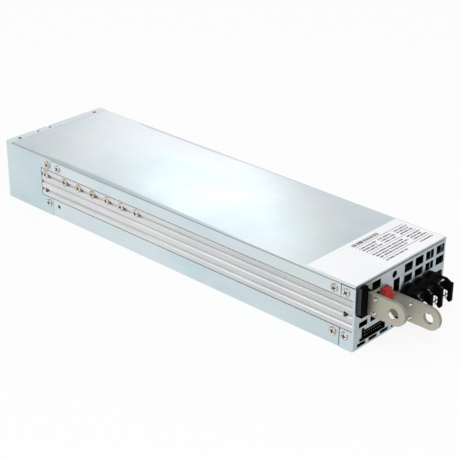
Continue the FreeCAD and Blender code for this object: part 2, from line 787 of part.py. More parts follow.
def make_heatsink():
    """Ribbed extrusion: the band shows between the flanges, its plate lies behind them."""
    band = ("chassis_flange + seam_gap", f"{COVER_SKIRT} - seam_gap")
    low = "(sheet_gauge + heatsink_margin)"
    high = f"({COVER_UNDER} - heatsink_margin)"
    corners = [(SINK_INNER, low), (SINK_INNER, high), (SINK_FACE, high), (SINK_FACE, band[1])]
    corners.append((LEFT, band[1]))
    for number in reversed(GROOVES):
        middle = f"({BAND_MID} + {number} * groove_pitch)"
        for sign, width, depth in (
            ("+", "groove_width", "0"),
            ("+", "groove_floor", "groove_depth"),
            ("-", "groove_floor", "groove_depth"),
            ("-", "groove_width", "0"),
        ):
            corners.append((f"{LEFT} + {depth}", f"{middle} {sign} {width} / 2"))
    corners += [(LEFT, band[0]), (SINK_FACE, band[0]), (SINK_FACE, low)]
    bar = profile("heatsink_bar", "XZ_Plane", PANEL_BACK, SINK_REAR, corners)
    through = (LEFT, SINK_INNER)
    tapped = "screw_shank_radius + screw_play"
    screws = side_screws()
    case = screws["ear"] + screws["cover"] + screws["chassis"] + screws["housing"]
    holes = side_holes("sink_case", case, tapped, through)
    holes += side_holes("sink_device", device_places(), tapped, through)
    pilots = [(f"{y} - pilot_offset", z) for y, z in device_places()]
    holes += side_holes("sink_pilot", pilots, "pilot_radius", (LEFT, f"{LEFT} + pilot_depth"))
    holes += side_holes("sink_end", [end_screw()], tapped, through)
    mounts = [
        (f"{FRONT} + side_hole_front", BAND_MID),
        (f"{REAR} - side_hole_rear", f"{BAND_MID} - groove_pitch"),
    ]
    holes += side_holes("sink_mount", mounts, "side_hole_radius", through)
    keep(minus("heatsink_drilled", bar, holes), "heatsink")


def end_screw():
    return (f"{REAR} - end_screw_inset", DEVICE_Z)


def screw(name, axis, sign, seat, head, height, shank, length, **centre):
    """Flat-headed screw; sign points from the seat out to the head."""
    out = f"{seat} + {sign} * {height}"
    inside = f"{seat} - {sign} * {length}"
    ends = ((seat, out), (inside, seat)) if sign == 1 else ((out, seat), (seat, inside))
    return union(name, [
        rod(f"{name}_head", axis, head, *ends[0], **centre),
        rod(f"{name}_shank", axis, shank, *ends[1], **centre),
    ])


def case_screw(axis, sign, seat, **centre):
    sizes = ("screw_head_radius", "screw_head_height", "screw_shank_radius", "screw_length")
    return screw("case_screw", axis, sign, seat, *sizes, **centre)


def make_fasteners():
    screws = side_screws()
    every = screws["ear"] + screws["cover"] + screws["chassis"] + screws["housing"]
    sides = [case_screw("x", -1, LEFT, y=y, z=z) for y, z in every]
    sides += [case_screw("x", 1, RIGHT, y=y, z=z) for y, z in every]
    keep(group("case_screw_set", sides), "case_screws")
    sink = [case_screw("x", -1, LEFT, y=y, z=z) for y, z in device_places() + [end_screw()]]
    keep(group("device_screw_set", sink), "heatsink_screws")
    lids = [
        rod(
            "lid_screw", "z", "lid_screw_radius - screw_play", f"{COVER_UNDER} - sheet_gauge", TOP,
            x=f"{sign} * (case_width / 2 - cover_tab_inset)",
            y=f"{REAR} - lid_screw_inset + sheet_gauge",
        )
        for sign in ("-1", "1")
    ]
    keep(group("lid_screw_set", lids), "cover_tab_screws")
    sizes = ("fan_screw_head_radius", "screw_head_height", "fan_screw_radius", "fan_screw_length")
    rear = [
        screw("fan_screw", "y", 1, REAR, *sizes, x=x, z=z)
        for _, middle in fans()
        for x, z in fan_corners(middle)
    ]
    keep(group("fan_screw_set", rear), "fan_screws")


def make_bar(node, x, z, reach):
    """Flat output tab: round bolted end outside, a leg down to the board inside."""
    tip = f"({FRONT} - {reach})"
    root = f"({PANEL_BACK} + bar_leg_start)"
    back = f"({root} + bar_leg_width)"
    high = f"{z} + bar_height"
    bolt = f"({tip} + bolt_hole_inset)"
    middle = f"({z} + bar_height / 2)"
    corners = [
        (tip, z), (root, z), (root, BOARD_TOP), (back, BOARD_TOP), (back, high), (tip, high),
    ]
    holes = [(bolt, middle, "bolt_hole_radius")]
    for sign in ("+", "-"):
        place = f"{middle} {sign} small_hole_spread"
        holes.append((f"{bolt} + small_hole_setback", place, "small_hole_radius"))
    body = profile(node, "YZ_Plane", x, f"{x} + bar_thickness", corners, holes)
    doc.recompute()
    pad = body.Tip
    nose = body.Shape.BoundBox.YMin
    fillet = body.newObject("PartDesign::Fillet", f"{node}_nose")
    fillet.Base = (pad, [
        f"Edge{number}"
        for number, edge in enumerate(pad.Shape.Edges, start=1)
        if edge.BoundBox.YMax < nose + NEAR and edge.BoundBox.ZLength < NEAR
    ])
    bind(fillet, "Radius", "min(bar_tip_radius; bar_height / 2 - bar_tip_flat)")
    keep(body, node)


def make_bush(node, x, z):
    """Insulating bush: a shaped flange outside the panel and a boss through it, round the tab."""
    left = f"({x} - {node}_lead)"
    foot = f"({x} - {node}_foot)"
    right = f"({x} + bar_thickness + {node}_lip)"
    low = f"({z} - {node}_lip)"
    step = f"({low} + {node}_step)"
    bar_high = f"({z} + bar_height)"
    high = f"({bar_high} + bush_rise)"
    corners = [
        (foot, low),
        (right, low),
        (right, f"{bar_high} + {node}_lip"),
        (x, f"{bar_high} + {node}_lip"),
        (f"{left} + bush_shoulder", high),
        (left, high),
        (left, step),
        (foot, f"{step} - bush_chamfer"),
    ]
    flange_y = (f"{FRONT} - bush_flange", FRONT)
    flange = profile(f"{node}_flange", "XZ_Plane", *flange_y, corners)
    boss_x, boss_z = bush_boss(x, z, "0")
    boss = block(f"{node}_boss", boss_x, (FRONT, f"{FRONT} + bush_boss"), boss_z)
    slot_x = (f"{x} - bush_play", f"{x} + bar_thickness + bush_play")
    slot_z = (f"{z} - bush_play", f"{bar_high} + bush_play")
    slot = block(f"{node}_slot", slot_x, (flange_y[0], f"{FRONT} + bush_boss"), slot_z)
    keep(minus(f"{node}_body", union(f"{node}_solid", [flange, boss]), [slot]), node)


def pole(number):
    """Across place of the middle of one terminal bay, the first bay at the left."""
    return f"({BLOCK_LEFT} + barrier_thickness / 2 + ({number} + 0.5) * pole_pitch)"


def make_barrier(number):
    """One barrier between the terminal bays: hooked over at the top, rounded off below."""
    x = f"{BLOCK_LEFT} + {number} * pole_pitch"
    nose = f"({FRONT} - barrier_reach)"
    root = f"({FRONT} - block_flange / 2)"
    corners = [
        (root, "barrier_root"),
        (f"{nose} + barrier_toe + barrier_toe_slope", "barrier_root"),
        (f"{nose} + barrier_toe", "barrier_tip"),
        (f"{nose} + barrier_bevel", "barrier_tip"),
        (nose, "barrier_tip + barrier_bevel"),
        (nose, "barrier_front_top"),
        (f"{nose} + barrier_cap", "barrier_front_top"),
        (f"{nose} + barrier_cap", "barrier_front_top - barrier_notch"),
        (f"{nose} + barrier_slope", "barrier_height"),
        (root, "barrier_height"),
    ]
    return profile(f"barrier_{number}", "YZ_Plane", x, f"{x} + barrier_thickness", corners)


def make_terminal_block():
    flange_y = (BLOCK_FACE, FRONT)
    inner_y = (FRONT, f"{FRONT} + block_inner_depth")
    solids = [make_barrier(number) for number in range(4)]
    apron_y = (f"{FRONT} - block_apron", FRONT)
    block_x = (BLOCK_LEFT, BLOCK_RIGHT)
    solids.append(block("block_wall", block_x, flange_y, ("block_low", "barrier_height")))
    solids.append(block("block_sheet", block_x, apron_y, ("block_low", "block_shoulder")))
    solids.append(block(
        "block_lug", (f"{BLOCK_LEFT} - block_lug", BLOCK_LEFT), flange_y,
        ("block_low", "block_lug_height"),
    ))
    inner_x = (BLOCK_LEFT, BLOCK_INNER_RIGHT)
    solids.append(block("block_inner", inner_x, inner_y, (BOARD_TOP, "block_top")))
    for number in POLES:
        place = {
            "x": f"{BLOCK_LEFT} - block_arch_lead + {number} * pole_pitch",
            "z": "block_arch_top - block_arch_radius",
        }
        solids.append(rod("block_arch", "y", "block_arch_radius", *flange_y, **place))
    wells = [
        rod(
            "block_well", "y", "terminal_well_radius", BLOCK_FACE,
            f"{WASHER_FACE} + terminal_shank_length + terminal_well_spare",
            x=pole(number), z="terminal_height",
        )
        for number in POLES
    ]
    keep(minus("block_bored", union("block_solid", solids), wells), "terminal_block")


def make_terminals():
    """In each bay a tapped plate, a captive washer and the clamping screw."""
    for number in POLES:
        middle = pole(number)
        place = {"x": middle, "z": "terminal_height"}
        plate_x = (f"{middle} - terminal_plate_width / 2", f"{middle} + terminal_plate_width / 2")
        plate_z = (
            "terminal_height - terminal_plate_height / 2",
            "terminal_height + terminal_plate_height / 2 + terminal_plate_rise",
        )
        plate = block(f"plate_blank_{number}", plate_x, (PLATE_FACE, BLOCK_FACE), plate_z)
        tapped = rod(
            f"plate_hole_{number}", "y", "terminal_shank_radius + terminal_play",
            PLATE_FACE, BLOCK_FACE, **place,
        )
        keep(minus(f"plate_{number}", plate, [tapped]), f"terminal_plate_{number + 1}")
        disc = rod(f"disc_{number}", "y", "washer_radius", WASHER_FACE, PLATE_FACE, **place)
        eye = rod(
            f"disc_hole_{number}", "y", "terminal_shank_radius + terminal_play",
            WASHER_FACE, PLATE_FACE, **place,
        )
        keep(minus(f"washer_{number}", disc, [eye]), f"clamp_washer_{number + 1}")
        clamp = screw(
            f"clamp_{number}", "y", -1, WASHER_FACE, "terminal_head_radius",
            "terminal_head_height", "terminal_shank_radius", "terminal_shank_length", **place,
        )
        keep(clamp, f"terminal_screw_{number + 1}")


def make_header():
    """Shrouded two-row signal header standing on the front edge of the board."""
    (left, right), (low, high) = header_limits()
    mouth = f"({FRONT} - header_proud)"
    back = f"({mouth} + header_depth)"
    floor = f"({mouth} + header_cavity)"
    shell = [block("header_box", (left, right), (mouth, back), (low, high))]
    for x, z in header_keys():
        shell.append(block("header_key_rib", x, (mouth, f"{mouth} + header_key_depth"), z))
    cavity = block(
        "header_cavity_space", (f"{left} + header_wall", f"{right} - header_wall"), (mouth, floor),
        (f"{low} + header_wall", f"{high} - header_wall"),
    )
    pins = []
    for pin in range(PINS_PER_ROW):
        middle = f"({LEFT} + header_x + ({pin} - {(PINS_PER_ROW - 1) / 2}) * pin_pitch)"
        for up in (-0.5, 0.5):
            height = f"({low} + header_height / 2 + {up} * pin_pitch)"
            pins.append(block(
                "header_pin",
                (f"{middle} - pin_size / 2", f"{middle} + pin_size / 2"),
                (f"{mouth} + 2 * pin_size", f"{back} + 2 * pin_size"),
                (f"{height} - pin_size / 2", f"{height} + pin_size / 2"),
            ))
    keep(minus("header_shell", union("header_solid", shell), [cavity] + pins), "signal_header")
    keep(group("header_pin_set", pins), "header_pins")


def make_trimmer():
    half = "trim_body_size / 2"
    body_y = (f"{PANEL_BOARD} - trim_body_depth", PANEL_BOARD)
    place = {"x": TRIM_X, "z": TRIM_Z}
    case = block(
        "trimmer_case", (f"{TRIM_X} - {half}", f"{TRIM_X} + {half}"), body_y,
        (f"{TRIM_Z} - {half}", f"{TRIM_Z} + {half}"),
    )
    seat = f"({body_y[0]} + trim_rotor_length - trim_rotor_proud)"
    well = rod(
        "trimmer_well", "y", "trim_rotor_radius + trim_play", body_y[0], seat, **place,
    )
    keep(minus("trimmer_body", case, [well]), "trimmer_body")
    face = f"({body_y[0]} - trim_rotor_proud)"
    disc = rod("trimmer_disc", "y", "trim_rotor_radius", face, seat, **place)
    slot_x = (f"{TRIM_X} - trim_rotor_radius", f"{TRIM_X} + trim_rotor_radius")
    slot_z = (f"{TRIM_Z} - trim_slot_width / 2", f"{TRIM_Z} + trim_slot_width / 2")
    slot = block("trimmer_slot", slot_x, (face, f"{face} + trim_slot_depth"), slot_z)
    keep(minus("trimmer_cut", disc, [slot]), "trimmer_rotor")


def make_switch():
    """Three-way slide selector behind the tall window of the panel."""
    face = f"({PANEL_BOARD} - switch_depth)"
    case = block(
        "switch_case",
        (f"{SWITCH_X} - switch_width / 2", f"{SWITCH_X} + switch_width / 2"),
        (face, PANEL_BOARD),
        (f"{SWITCH_Z} - switch_height / 2", f"{SWITCH_Z} + switch_height / 2"),
    )
    start = f"({SWITCH_X} - slider_travel / 2 - slider_width / 2)"
    wells = []
    for number in SWITCHES:
        height = f"({SWITCH_Z} + {1 - number} * switch_pitch)"
        z = (f"{height} - slider_height / 2", f"{height} + slider_height / 2")
        y = (f"{face} - slider_proud", f"{face} + slider_depth")
        slider = block(f"slider_{number}", (start, f"{start} + slider_width"), y, z)
        keep(slider, f"switch_slider_{number + 1}")
        wells.append(block(
            "switch_well",
            (f"{start} - slider_play", f"{start} + slider_width + slider_travel + slider_play"),
            (face, f"{y[1]} + slider_play"),
            (f"{z[0]} - slider_play", f"{z[1]} + slider_play"),
        ))
    keep(minus("switch_shell", case, wells), "switch_body")


def make_panel_board():
    """Small upright board behind the panel for the trimmer and the selector switch."""
    y = (PANEL_BOARD, f"{PANEL_BOARD} + board_thickness")
    left = f"({SWITCH_X} - panel_board_width / 2)"
    right = f"({SWITCH_X} + panel_board_width / 2)"
    split = f"({TRIM_Z} - trim_body_size / 2 - board_thickness)"
    stem = block("panel_board_stem", (left, right), y, (BOARD_TOP, split))
    wing_x = (f"{left} - panel_board_wing", f"{right} + panel_board_wing / 2")
    wing = block("panel_board_wing_plate", wing_x, y, (split, f"{COVER_UNDER} - standoff_height"))
    keep(union("panel_board_solid", [stem, wing]), "front_board")


def board_place(share):
    """A place along the board, as a share of its length from the front."""
    return f"({BOARD_FRONT} + {share} * {BOARD_LENGTH})"


def standoff_places():
    left = f"({BOARD_LEFT} + standoff_inset)"
    right = f"({BOARD_RIGHT} - standoff_right_inset)"
    return [(left, board_place(share)) for share in BOARD_SHARES["left_standoffs"]] + [
        (right, board_place(share)) for share in BOARD_SHARES["right_standoffs"]
    ]


def make_board():
    x = (BOARD_LEFT, BOARD_RIGHT)
    y = (BOARD_FRONT, BOARD_REAR)
    keep(block("board_plate", x, y, (BOARD_LOW, BOARD_TOP)), "main_board")
    film = block("film_plate", x, y, ("sheet_gauge", "sheet_gauge + film_thickness"))
    eyes = []
    posts = []
    screws = []
    for place_x, place_y in standoff_places():
        place = {"x": place_x, "y": place_y}
        eyes.append(rod(
            "film_eye", "z", "standoff_radius + film_play", "sheet_gauge",
            "sheet_gauge + film_thickness", **place,
        ))
        posts.append(rod("post", "z", "standoff_radius", "sheet_gauge", BOARD_LOW, **place))
        screws.append(rod(
            "board_screw", "z", "board_screw_radius", BOARD_TOP,
            f"{BOARD_TOP} + board_screw_height", **place,
        ))
    keep(minus("film_cut", film, eyes), "insulating_film")
    keep(group("post_set", posts), "board_standoffs")
    keep(group("board_screw_set", screws), "board_screws")


def make_devices():
    """Power transistors and the rectifier, flat against the inner face of the heatsink."""
    solids = []
    x = (SINK_INNER, f"{SINK_INNER} + device_gauge")
    hole = "screw_shank_radius + screw_play"
    for y, z in device_places():
        low = f"({z} - device_height + device_hole_drop)"
        body = block(
            "device_body", x, (f"{y} - device_width / 2", f"{y} + device_width / 2"),
            (low, f"{z} + device_hole_drop"),
        )
        eye = rod("device_eye", "x", hole, *x, y=y, z=z)
        lead_x = (f"{x[0]} + device_gauge / 2", f"{x[0]} + device_gauge / 2 + device_lead")
        leads = [
            block(
                "device_leg", lead_x,
                (f"{y} + {leg} * device_lead_pitch - device_lead / 2",
                 f"{y} + {leg} * device_lead_pitch + device_lead / 2"),
                (BOARD_TOP, low),
            )
            for leg in (-1, 0, 1)
        ]
        solids.append(union("device", [minus("device_drilled", body, [eye])] + leads))
    keep(group("device_set", solids), "power_transistors")
    middle = board_place(BOARD_SHARES["bridge"])
    bridge_z = (f"{BAND_MID} - bridge_height / 2", f"{BAND_MID} + bridge_height / 2")
    bridge_y = (f"{middle} - bridge_length / 2", f"{middle} + bridge_length / 2")
    bridge_x = (SINK_INNER, f"{SINK_INNER} + bridge_gauge")
    keep(block("bridge_block", bridge_x, bridge_y, bridge_z), "bridge_rectifier")


def can(name, radius, height, x, y):
    """Upright capacitor can with a bevelled crown."""
    body = rod(
        f"{name}_can", "z", radius, BOARD_TOP, f"{BOARD_TOP} + {height} - bulk_bevel", x=x, y=y,
    )
    crown = doc.addObject("Part::Cone", f"{name}_crown")
    bind(crown, "Radius1", radius)
    bind(crown, "Radius2", f"{radius} - bulk_bevel")
    bind(crown, "Height", "bulk_bevel")
    bind(crown, "Placement.Base.x", x)
    bind(crown, "Placement.Base.y", y)
    bind(crown, "Placement.Base.z", f"{BOARD_TOP} + {height} - bulk_bevel")
    return union(name, [body, crown])


def make_capacitors():
    bulk_x = f"({BOARD_RIGHT} - bulk_radius - board_edge_gap)"
    bulk = [
        can("bulk", "bulk_radius", "bulk_height", bulk_x, board_place(share))
        for share in BOARD_SHARES["bulk_cans"]
    ]
    keep(group("bulk_set", bulk), "bulk_capacitors")
    between = f"(({NEGATIVE_X} + bar_thickness + {POSITIVE_X}) / 2)"
    start = f"({PANEL_BACK} + header_depth + output_can_radius + output_can_gap)"
    outputs = [
        can(
            "output", "output_can_radius", "output_can_height",
            f"{between} + {across} * output_can_pitch / 2", f"{start} + {row} * output_can_pitch",
        )
        for across in (-1, 1)
        for row in range(3)
    ]
    keep(group("output_set", outputs), "output_capacitors")
    x = (f"{BOARD_RIGHT} - film_can_length - mains_inset", f"{BOARD_RIGHT} - mains_inset")
    films = []
    for share in BOARD_SHARES["film_cans"]:
        middle = board_place(share)
        y = (f"{middle} - film_can_width / 2", f"{middle} + film_can_width / 2")
        films.append(block("film_can", x, y, (BOARD_TOP, f"{BOARD_TOP} + film_can_height")))
    keep(group("film_can_set", films), "filter_capacitors")


def make_chokes():
    """Wound rings lying on the board, bevelled all round: mains, boost stage and output."""
    for node, x in (
        ("line_choke", f"({BOARD_RIGHT} - line_choke_inset)"),
        ("boost_choke", f"({BOARD_RIGHT} - boost_choke_inset)"),
        ("output_choke", f"({BOARD_LEFT} + output_choke_inset)"),
    ):
        place = {"x": x, "y": board_place(BOARD_SHARES[node])}
        z = (BOARD_TOP, f"{BOARD_TOP} + {node}_height")
        ring = minus(f"{node}_ring", rod(f"{node}_disc", "z", f"{node}_radius", *z, **place), [
            rod(f"{node}_eye", "z", f"{node}_eye", *z, **place),
        ])
        keep(rounded(f"{node}_bevel", ring, "choke_bevel", is_rim, "Part::Chamfer"), node)


def is_rim(box):
    return box.ZLength < NEAR


def make_relay():
    middle = board_place(BOARD_SHARES["relay"])
    x = (f"{BOARD_RIGHT} - relay_length - mains_inset", f"{BOARD_RIGHT} - mains_inset")
    y = (f"{middle} - relay_width / 2", f"{middle} + relay_width / 2")
    keep(block("relay_case", x, y, (BOARD_TOP, f"{BOARD_TOP} + relay_height")), "inrush_relay")


def make_transformer():
    """Two-window ferrite core with its winding round the middle leg."""
    left = f"({BOARD_LEFT} + core_inset)"
    middle = board_place(BOARD_SHARES["transformer"])
    front = f"({middle} - core_length / 2)"
    x = (left, f"{left} + core_width")
    y = (front, f"{front} + core_length")
    z = (BOARD_TOP, f"{BOARD_TOP} + core_height")
    core = block("core_block", x, y, z)
    inner = f"({front} + core_leg)"
    outer = f"({front} + core_length - core_leg)"
    half = "(core_length / 2 - core_leg / 2)"
    windows = []
    for window_y in ((inner, f"{front} + {half}"), (f"{front} + core_length - {half}", outer)):
        window_z = (f"{z[0]} + core_leg", f"{z[1]} - core_leg")
        windows.append(block("core_window", x, window_y, window_z))
    keep(minus("core_cut", core, windows), "transformer_core")
    gap = "winding_gap"
    coil_y = (f"{inner} + {gap}", f"{outer} - {gap}")
    coil_z = (f"{z[0]} + core_leg + {gap}", f"{z[1]} - core_leg - {gap}")
    coil_x = (f"{x[0]} - winding_bulge", f"{x[1]} + winding_bulge")
    coil = block("coil_block", coil_x, coil_y, coil_z)
    leg_y = (f"{front} + {half} - {gap}", f"{front} + core_length - {half} + {gap}")
    leg = block("coil_leg", coil_x, leg_y, coil_z)
    keep(minus("coil_cut", coil, [leg]), "transformer_winding")


def make_daughter_board():
    x = f"({BOARD_LEFT} + daughter_board_inset)"
    y = f"({BOARD_REAR} - daughter_board_length - daughter_board_gap)"
    plate = block(
        "daughter_plate", (x, f"{x} + board_thickness"), (y, f"{y} + daughter_board_length"),
        (BOARD_TOP, f"{BOARD_TOP} + daughter_board_height"),
    )
    keep(plate, "control_board")


def make_fan_frame(side, middle):
    """Square fan frame: round duct, motor seat on four struts and the fixed shaft."""
    half = f"{FAN_SIZE} / 2"
    x = (f"{middle} - {half}", f"{middle} + {half}")
    z = (f"{FAN_Z} - {half}", f"{FAN_Z} + {half}")
    y = (FAN_FRONT, FAN_REAR)
    place = {"x": middle, "z": FAN_Z}
    duct = minus(f"duct_{side}", block(f"duct_block_{side}", x, y, z), [
        rod(f"duct_bore_{side}", "y", FAN_BORE, *y, **place),
    ])
    seat_y = (FAN_FRONT, f"{FAN_FRONT} + fan_mount_thickness")
    thin_x = (f"{middle} - fan_strut_width / 2", f"{middle} + fan_strut_width / 2")
    thin_z = (f"{FAN_Z} - fan_strut_width / 2", f"{FAN_Z} + fan_strut_width / 2")
    shaft_end = f"{seat_y[1]} + fan_hub_gap + fan_rotor_depth"
    solid = union(f"fan_solid_{side}", [
        duct,
        rod(f"motor_seat_{side}", "y", "fan_hub_radius", *seat_y, **place),
        block(f"strut_level_{side}", x, seat_y, thin_z),
        block(f"strut_upright_{side}", thin_x, seat_y, z),
        rod(f"fan_shaft_{side}", "y", "fan_pin_radius", FAN_FRONT, shaft_end, **place),
    ])
    corner = "fan_screw_radius + screw_play"
    depth = f"{FAN_REAR} - fan_screw_length"
    holes = [
        rod(f"fan_corner_{side}", "y", corner, depth, FAN_REAR, x=hole_x, z=hole_z)
        for hole_x, hole_z in fan_corners(middle)
    ]
    keep(minus(f"fan_drilled_{side}", solid, holes), f"fan_frame_{side}")


def make_fan_rotor(side, middle):
    """Moulded impeller: a hub bored for the shaft and seven twisted blades."""
    name = f"impeller_{side}"
    start = f"({FAN_FRONT} + fan_mount_thickness + fan_hub_gap)"
    end = f"({start} + fan_rotor_depth)"
    body = doc.addObject("PartDesign::Body", name)
    hub = sketch_on(body, "XZ_Plane", f"-{end}", f"{name}_hub")
    circle(hub, "0", "0", "fan_hub_radius")
    circle(hub, "0", "0", "fan_pin_radius + fan_pin_play")
    pad = body.newObject("PartDesign::Pad", f"{name}_hub_pad")
    pad.Profile = hub
    bind(pad, "Length", "fan_rotor_depth")
    inner = "(fan_hub_radius - fan_blade_gauge)"
    outer = f"({FAN_BORE} - fan_tip_gap)"
    half = "(fan_blade_gauge / 2)"
    sections = []
    for number in range(BLADE_SECTIONS):
        share = number / (BLADE_SECTIONS - 1)
        depth = f"({start} + fan_blade_margin + {share} * (fan_rotor_depth - 2 * fan_blade_margin))"
        angle = f"({share} * fan_blade_twist_degrees)"
        section = sketch_on(body, "XZ_Plane", f"-{depth}", f"{name}_section_{number}")
        trace(section, [
            (f"{radius} * cos({angle}) - {side_sign} * {half} * sin({angle})",
             f"{radius} * sin({angle}) + {side_sign} * {half} * cos({angle})")
            for radius, side_sign in ((inner, -1), (outer, -1), (outer, 1), (inner, 1))
        ])
        sections.append(section)
    blade = body.newObject("PartDesign::AdditiveLoft", f"{name}_blade")
    blade.Profile = sections[0]
    blade.Sections = sections[1:]
    blade.Ruled = True
    doc.recompute()
    blades = body.newObject("PartDesign::PolarPattern", f"{name}_blades")
    blades.Originals = [blade]
    blades.Axis = (hub, ["N_Axis"])
    blades.Angle = 360
    blades.Occurrences = BLADES
    body.Tip = blades
    bind(body, "Placement.Base.x", middle)
    bind(body, "Placement.Base.z", FAN_Z)
    keep(body, f"fan_rotor_{side}")


def build():
    make_bottom_chassis()
    make_top_cover()
    make_label()
    make_front_panel()
    make_rear_housing()
    make_heatsink()
    make_fasteners()
    make_bar("negative_tab", NEGATIVE_X, NEGATIVE_Z, "negative_bar_reach")
    make_bar("positive_tab", POSITIVE_X, POSITIVE_Z, "positive_bar_reach")
    make_bush("negative_bush", NEGATIVE_X, NEGATIVE_Z)
    make_bush("positive_bush", POSITIVE_X, POSITIVE_Z)
    make_terminal_block()
    make_terminals()
    make_header()
    make_trimmer()
    make_switch()
    make_panel_board()
    make_board()
    make_devices()
    make_capacitors()
    make_chokes()
    make_relay()
    make_transformer()
    make_daughter_board()
    for side, middle in fans():
        make_fan_frame(side, middle)
        make_fan_rotor(side, middle)


def check():
    doc.recompute()
    for item in doc.Objects:
        if "Invalid" in item.State or "Error" in item.State:
            raise RuntimeError(f"{item.Label} did not build: {item.State}")
    for node, item in pieces.items():
        if item.Shape.isNull() or not item.Shape.isValid() or not item.Shape.Solids:
            raise RuntimeError(f"{node} has no sound solid")


build()
check()
os.makedirs("parts", exist_ok=True)
for node, item in pieces.items():
    item.Shape.exportStep(os.path.join("parts", f"{node}.step"))
print(len(pieces), "sub-parts written")
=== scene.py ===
# Looks of a long flat power supply in a zinc-plated sheet case
import json
import math

import bmesh
import bpy
from mathutils import Matrix, Vector


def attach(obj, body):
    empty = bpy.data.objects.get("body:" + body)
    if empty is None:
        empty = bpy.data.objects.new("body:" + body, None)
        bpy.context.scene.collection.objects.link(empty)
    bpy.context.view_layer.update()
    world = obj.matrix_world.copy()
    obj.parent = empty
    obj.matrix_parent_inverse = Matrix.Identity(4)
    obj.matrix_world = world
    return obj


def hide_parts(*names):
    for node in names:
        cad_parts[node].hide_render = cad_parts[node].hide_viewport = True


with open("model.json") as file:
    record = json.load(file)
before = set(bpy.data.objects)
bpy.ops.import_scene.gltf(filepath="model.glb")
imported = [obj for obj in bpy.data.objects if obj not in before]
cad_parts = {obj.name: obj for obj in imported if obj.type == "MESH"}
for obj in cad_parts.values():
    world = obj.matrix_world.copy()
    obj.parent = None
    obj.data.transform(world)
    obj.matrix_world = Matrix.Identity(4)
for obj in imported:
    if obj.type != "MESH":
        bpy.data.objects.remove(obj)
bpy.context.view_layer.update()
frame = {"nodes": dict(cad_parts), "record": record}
mm = 0.001
print("frame loaded:", len(frame["nodes"]), "nodes")


# low and high corner of the box round some places, and of a node's own box
def boxRound(places):
    low = Vector([min(place[axis] for place in places) for axis in range(3)])
    high = Vector([max(place[axis] for place in places) for axis in range(3)])
    return low, high


def boxOf(node):
    return boxRound([vertex.co for vertex in frame["nodes"][node].data.vertices])


# camera, floor and light

view = {
    "place": (-0.54766, -0.52954, 0.38478),  # metres
    "azimuth": -46.948,  # degrees
    "elevation": 26.241,
    "roll": 0.29,
    "lens": 104.24,  # mm
    "sensor": 36.0,
    "clip": (0.01, 30.0),
}

azimuth = math.radians(view["azimuth"])
elevation = math.radians(view["elevation"])
roll = math.radians(view["roll"])
back = Vector((
    math.sin(azimuth) * math.cos(elevation),
    -math.cos(azimuth) * math.cos(elevation),
    math.sin(elevation),
))
level = Vector((math.cos(azimuth), math.sin(azimuth), 0.0))
upright = back.cross(level)
across = level * math.cos(roll) + upright * math.sin(roll)
above = upright * math.cos(roll) - level * math.sin(roll)
cameraData = bpy.data.cameras.new("productCamera")
cameraData.sensor_width = view["sensor"]
cameraData.lens = view["lens"]
cameraData.clip_start, cameraData.clip_end = view["clip"]
camera = bpy.data.objects.new("productCamera", cameraData)
bpy.context.scene.collection.objects.link(camera)
aimed = Matrix((across, above, back)).transposed().to_4x4()
camera.matrix_world = Matrix.Translation(view["place"]) @ aimed
bpy.context.scene.camera = camera
bpy.context.scene.view_settings.view_transform = "Standard"


def addNode(tree, kind, setup=None, values=None, wires=None):
    node = tree.nodes.new(kind)
    for name, value in (setup or {}).items():
        setattr(node, name, value)
    for socket, value in (values or {}).items():
        node.inputs[socket].default_value = value
    for socket, source in (wires or {}).items():
        tree.links.new(source, node.inputs[socket])
    return node


def plug(tree, socket, term):
    if isinstance(term, bpy.types.NodeSocket):
        tree.links.new(term, socket)
    else:
        socket.default_value = term


def addMath(tree, operation, *terms):
    node = addNode(tree, "ShaderNodeMath", {"operation": operation})
    for index, term in enumerate(terms):
        plug(tree, node.inputs[index], term)
    return node.outputs[0]


def addMix(tree, factor, first, second, blend="MIX"):
    node = addNode(tree, "ShaderNodeMix", {"data_type": "RGBA", "blend_type": blend})
    for index, term in ((0, factor), (6, first), (7, second)):  # the colour sockets of a mix
        plug(tree, node.inputs[index], term)
    return node.outputs[2]


# carries low to high over into first to last, and holds at both ends
def addRange(tree, source, low, high, first=0.0, last=1.0):
    node = addNode(tree, "ShaderNodeMapRange", None, {1: low, 2: high, 3: first, 4: last}, {0: source})
    return node.outputs[0]


def addRamp(tree, source, stops):
    node = addNode(tree, "ShaderNodeValToRGB", None, None, {0: source})
    ramp = node.color_ramp
    while len(ramp.elements) < len(stops):
        ramp.elements.new(1.0)
    for element, (place, colour) in zip(ramp.elements, stops):
        element.position = place
        element.color = (*colour, 1.0)
    return node.outputs[0]


studio = {
    "floorSize": 8.0,
    "floorDrop": 0.2 * mm,
    "floorColour": (0.92, 0.925, 0.93, 1.0),
    "floorGlow": 0.86,   # share of plain white in what is seen of the floor
    "floorMirror": 1.0,  # the same share in metal
    "fill": 0.74,        # light of the room on the object
    "keyPlace": (-0.9, -0.75, 1.5),
    "keySize": 1.2,
    "keyPower": 11.5,
    "rearPlace": (1.00, 0.96, 0.70),
    "rearSize": 0.30,
    "rearPower": 0.25,
    "aim": (0.0, 0.0, 0.03),
}


def seenRays(tree):
    path = addNode(tree, "ShaderNodeLightPath")
    direct = addMath(tree, "MAXIMUM", path.outputs["Is Camera Ray"], path.outputs["Is Glossy Ray"])
    return addMath(tree, "MAXIMUM", direct, path.outputs["Is Transmission Ray"])


def addLamp(name, place, size, power):
    data = bpy.data.lights.new(name, "AREA")
    data.shape = "SQUARE"
    data.size = size
    data.energy = power
    lamp = bpy.data.objects.new(name, data)
    bpy.context.scene.collection.objects.link(lamp)
    toward = Vector(studio["aim"]) - Vector(place)
    lamp.matrix_world = Matrix.Translation(place) @ toward.to_track_quat("-Z", "Y").to_matrix().to_4x4()


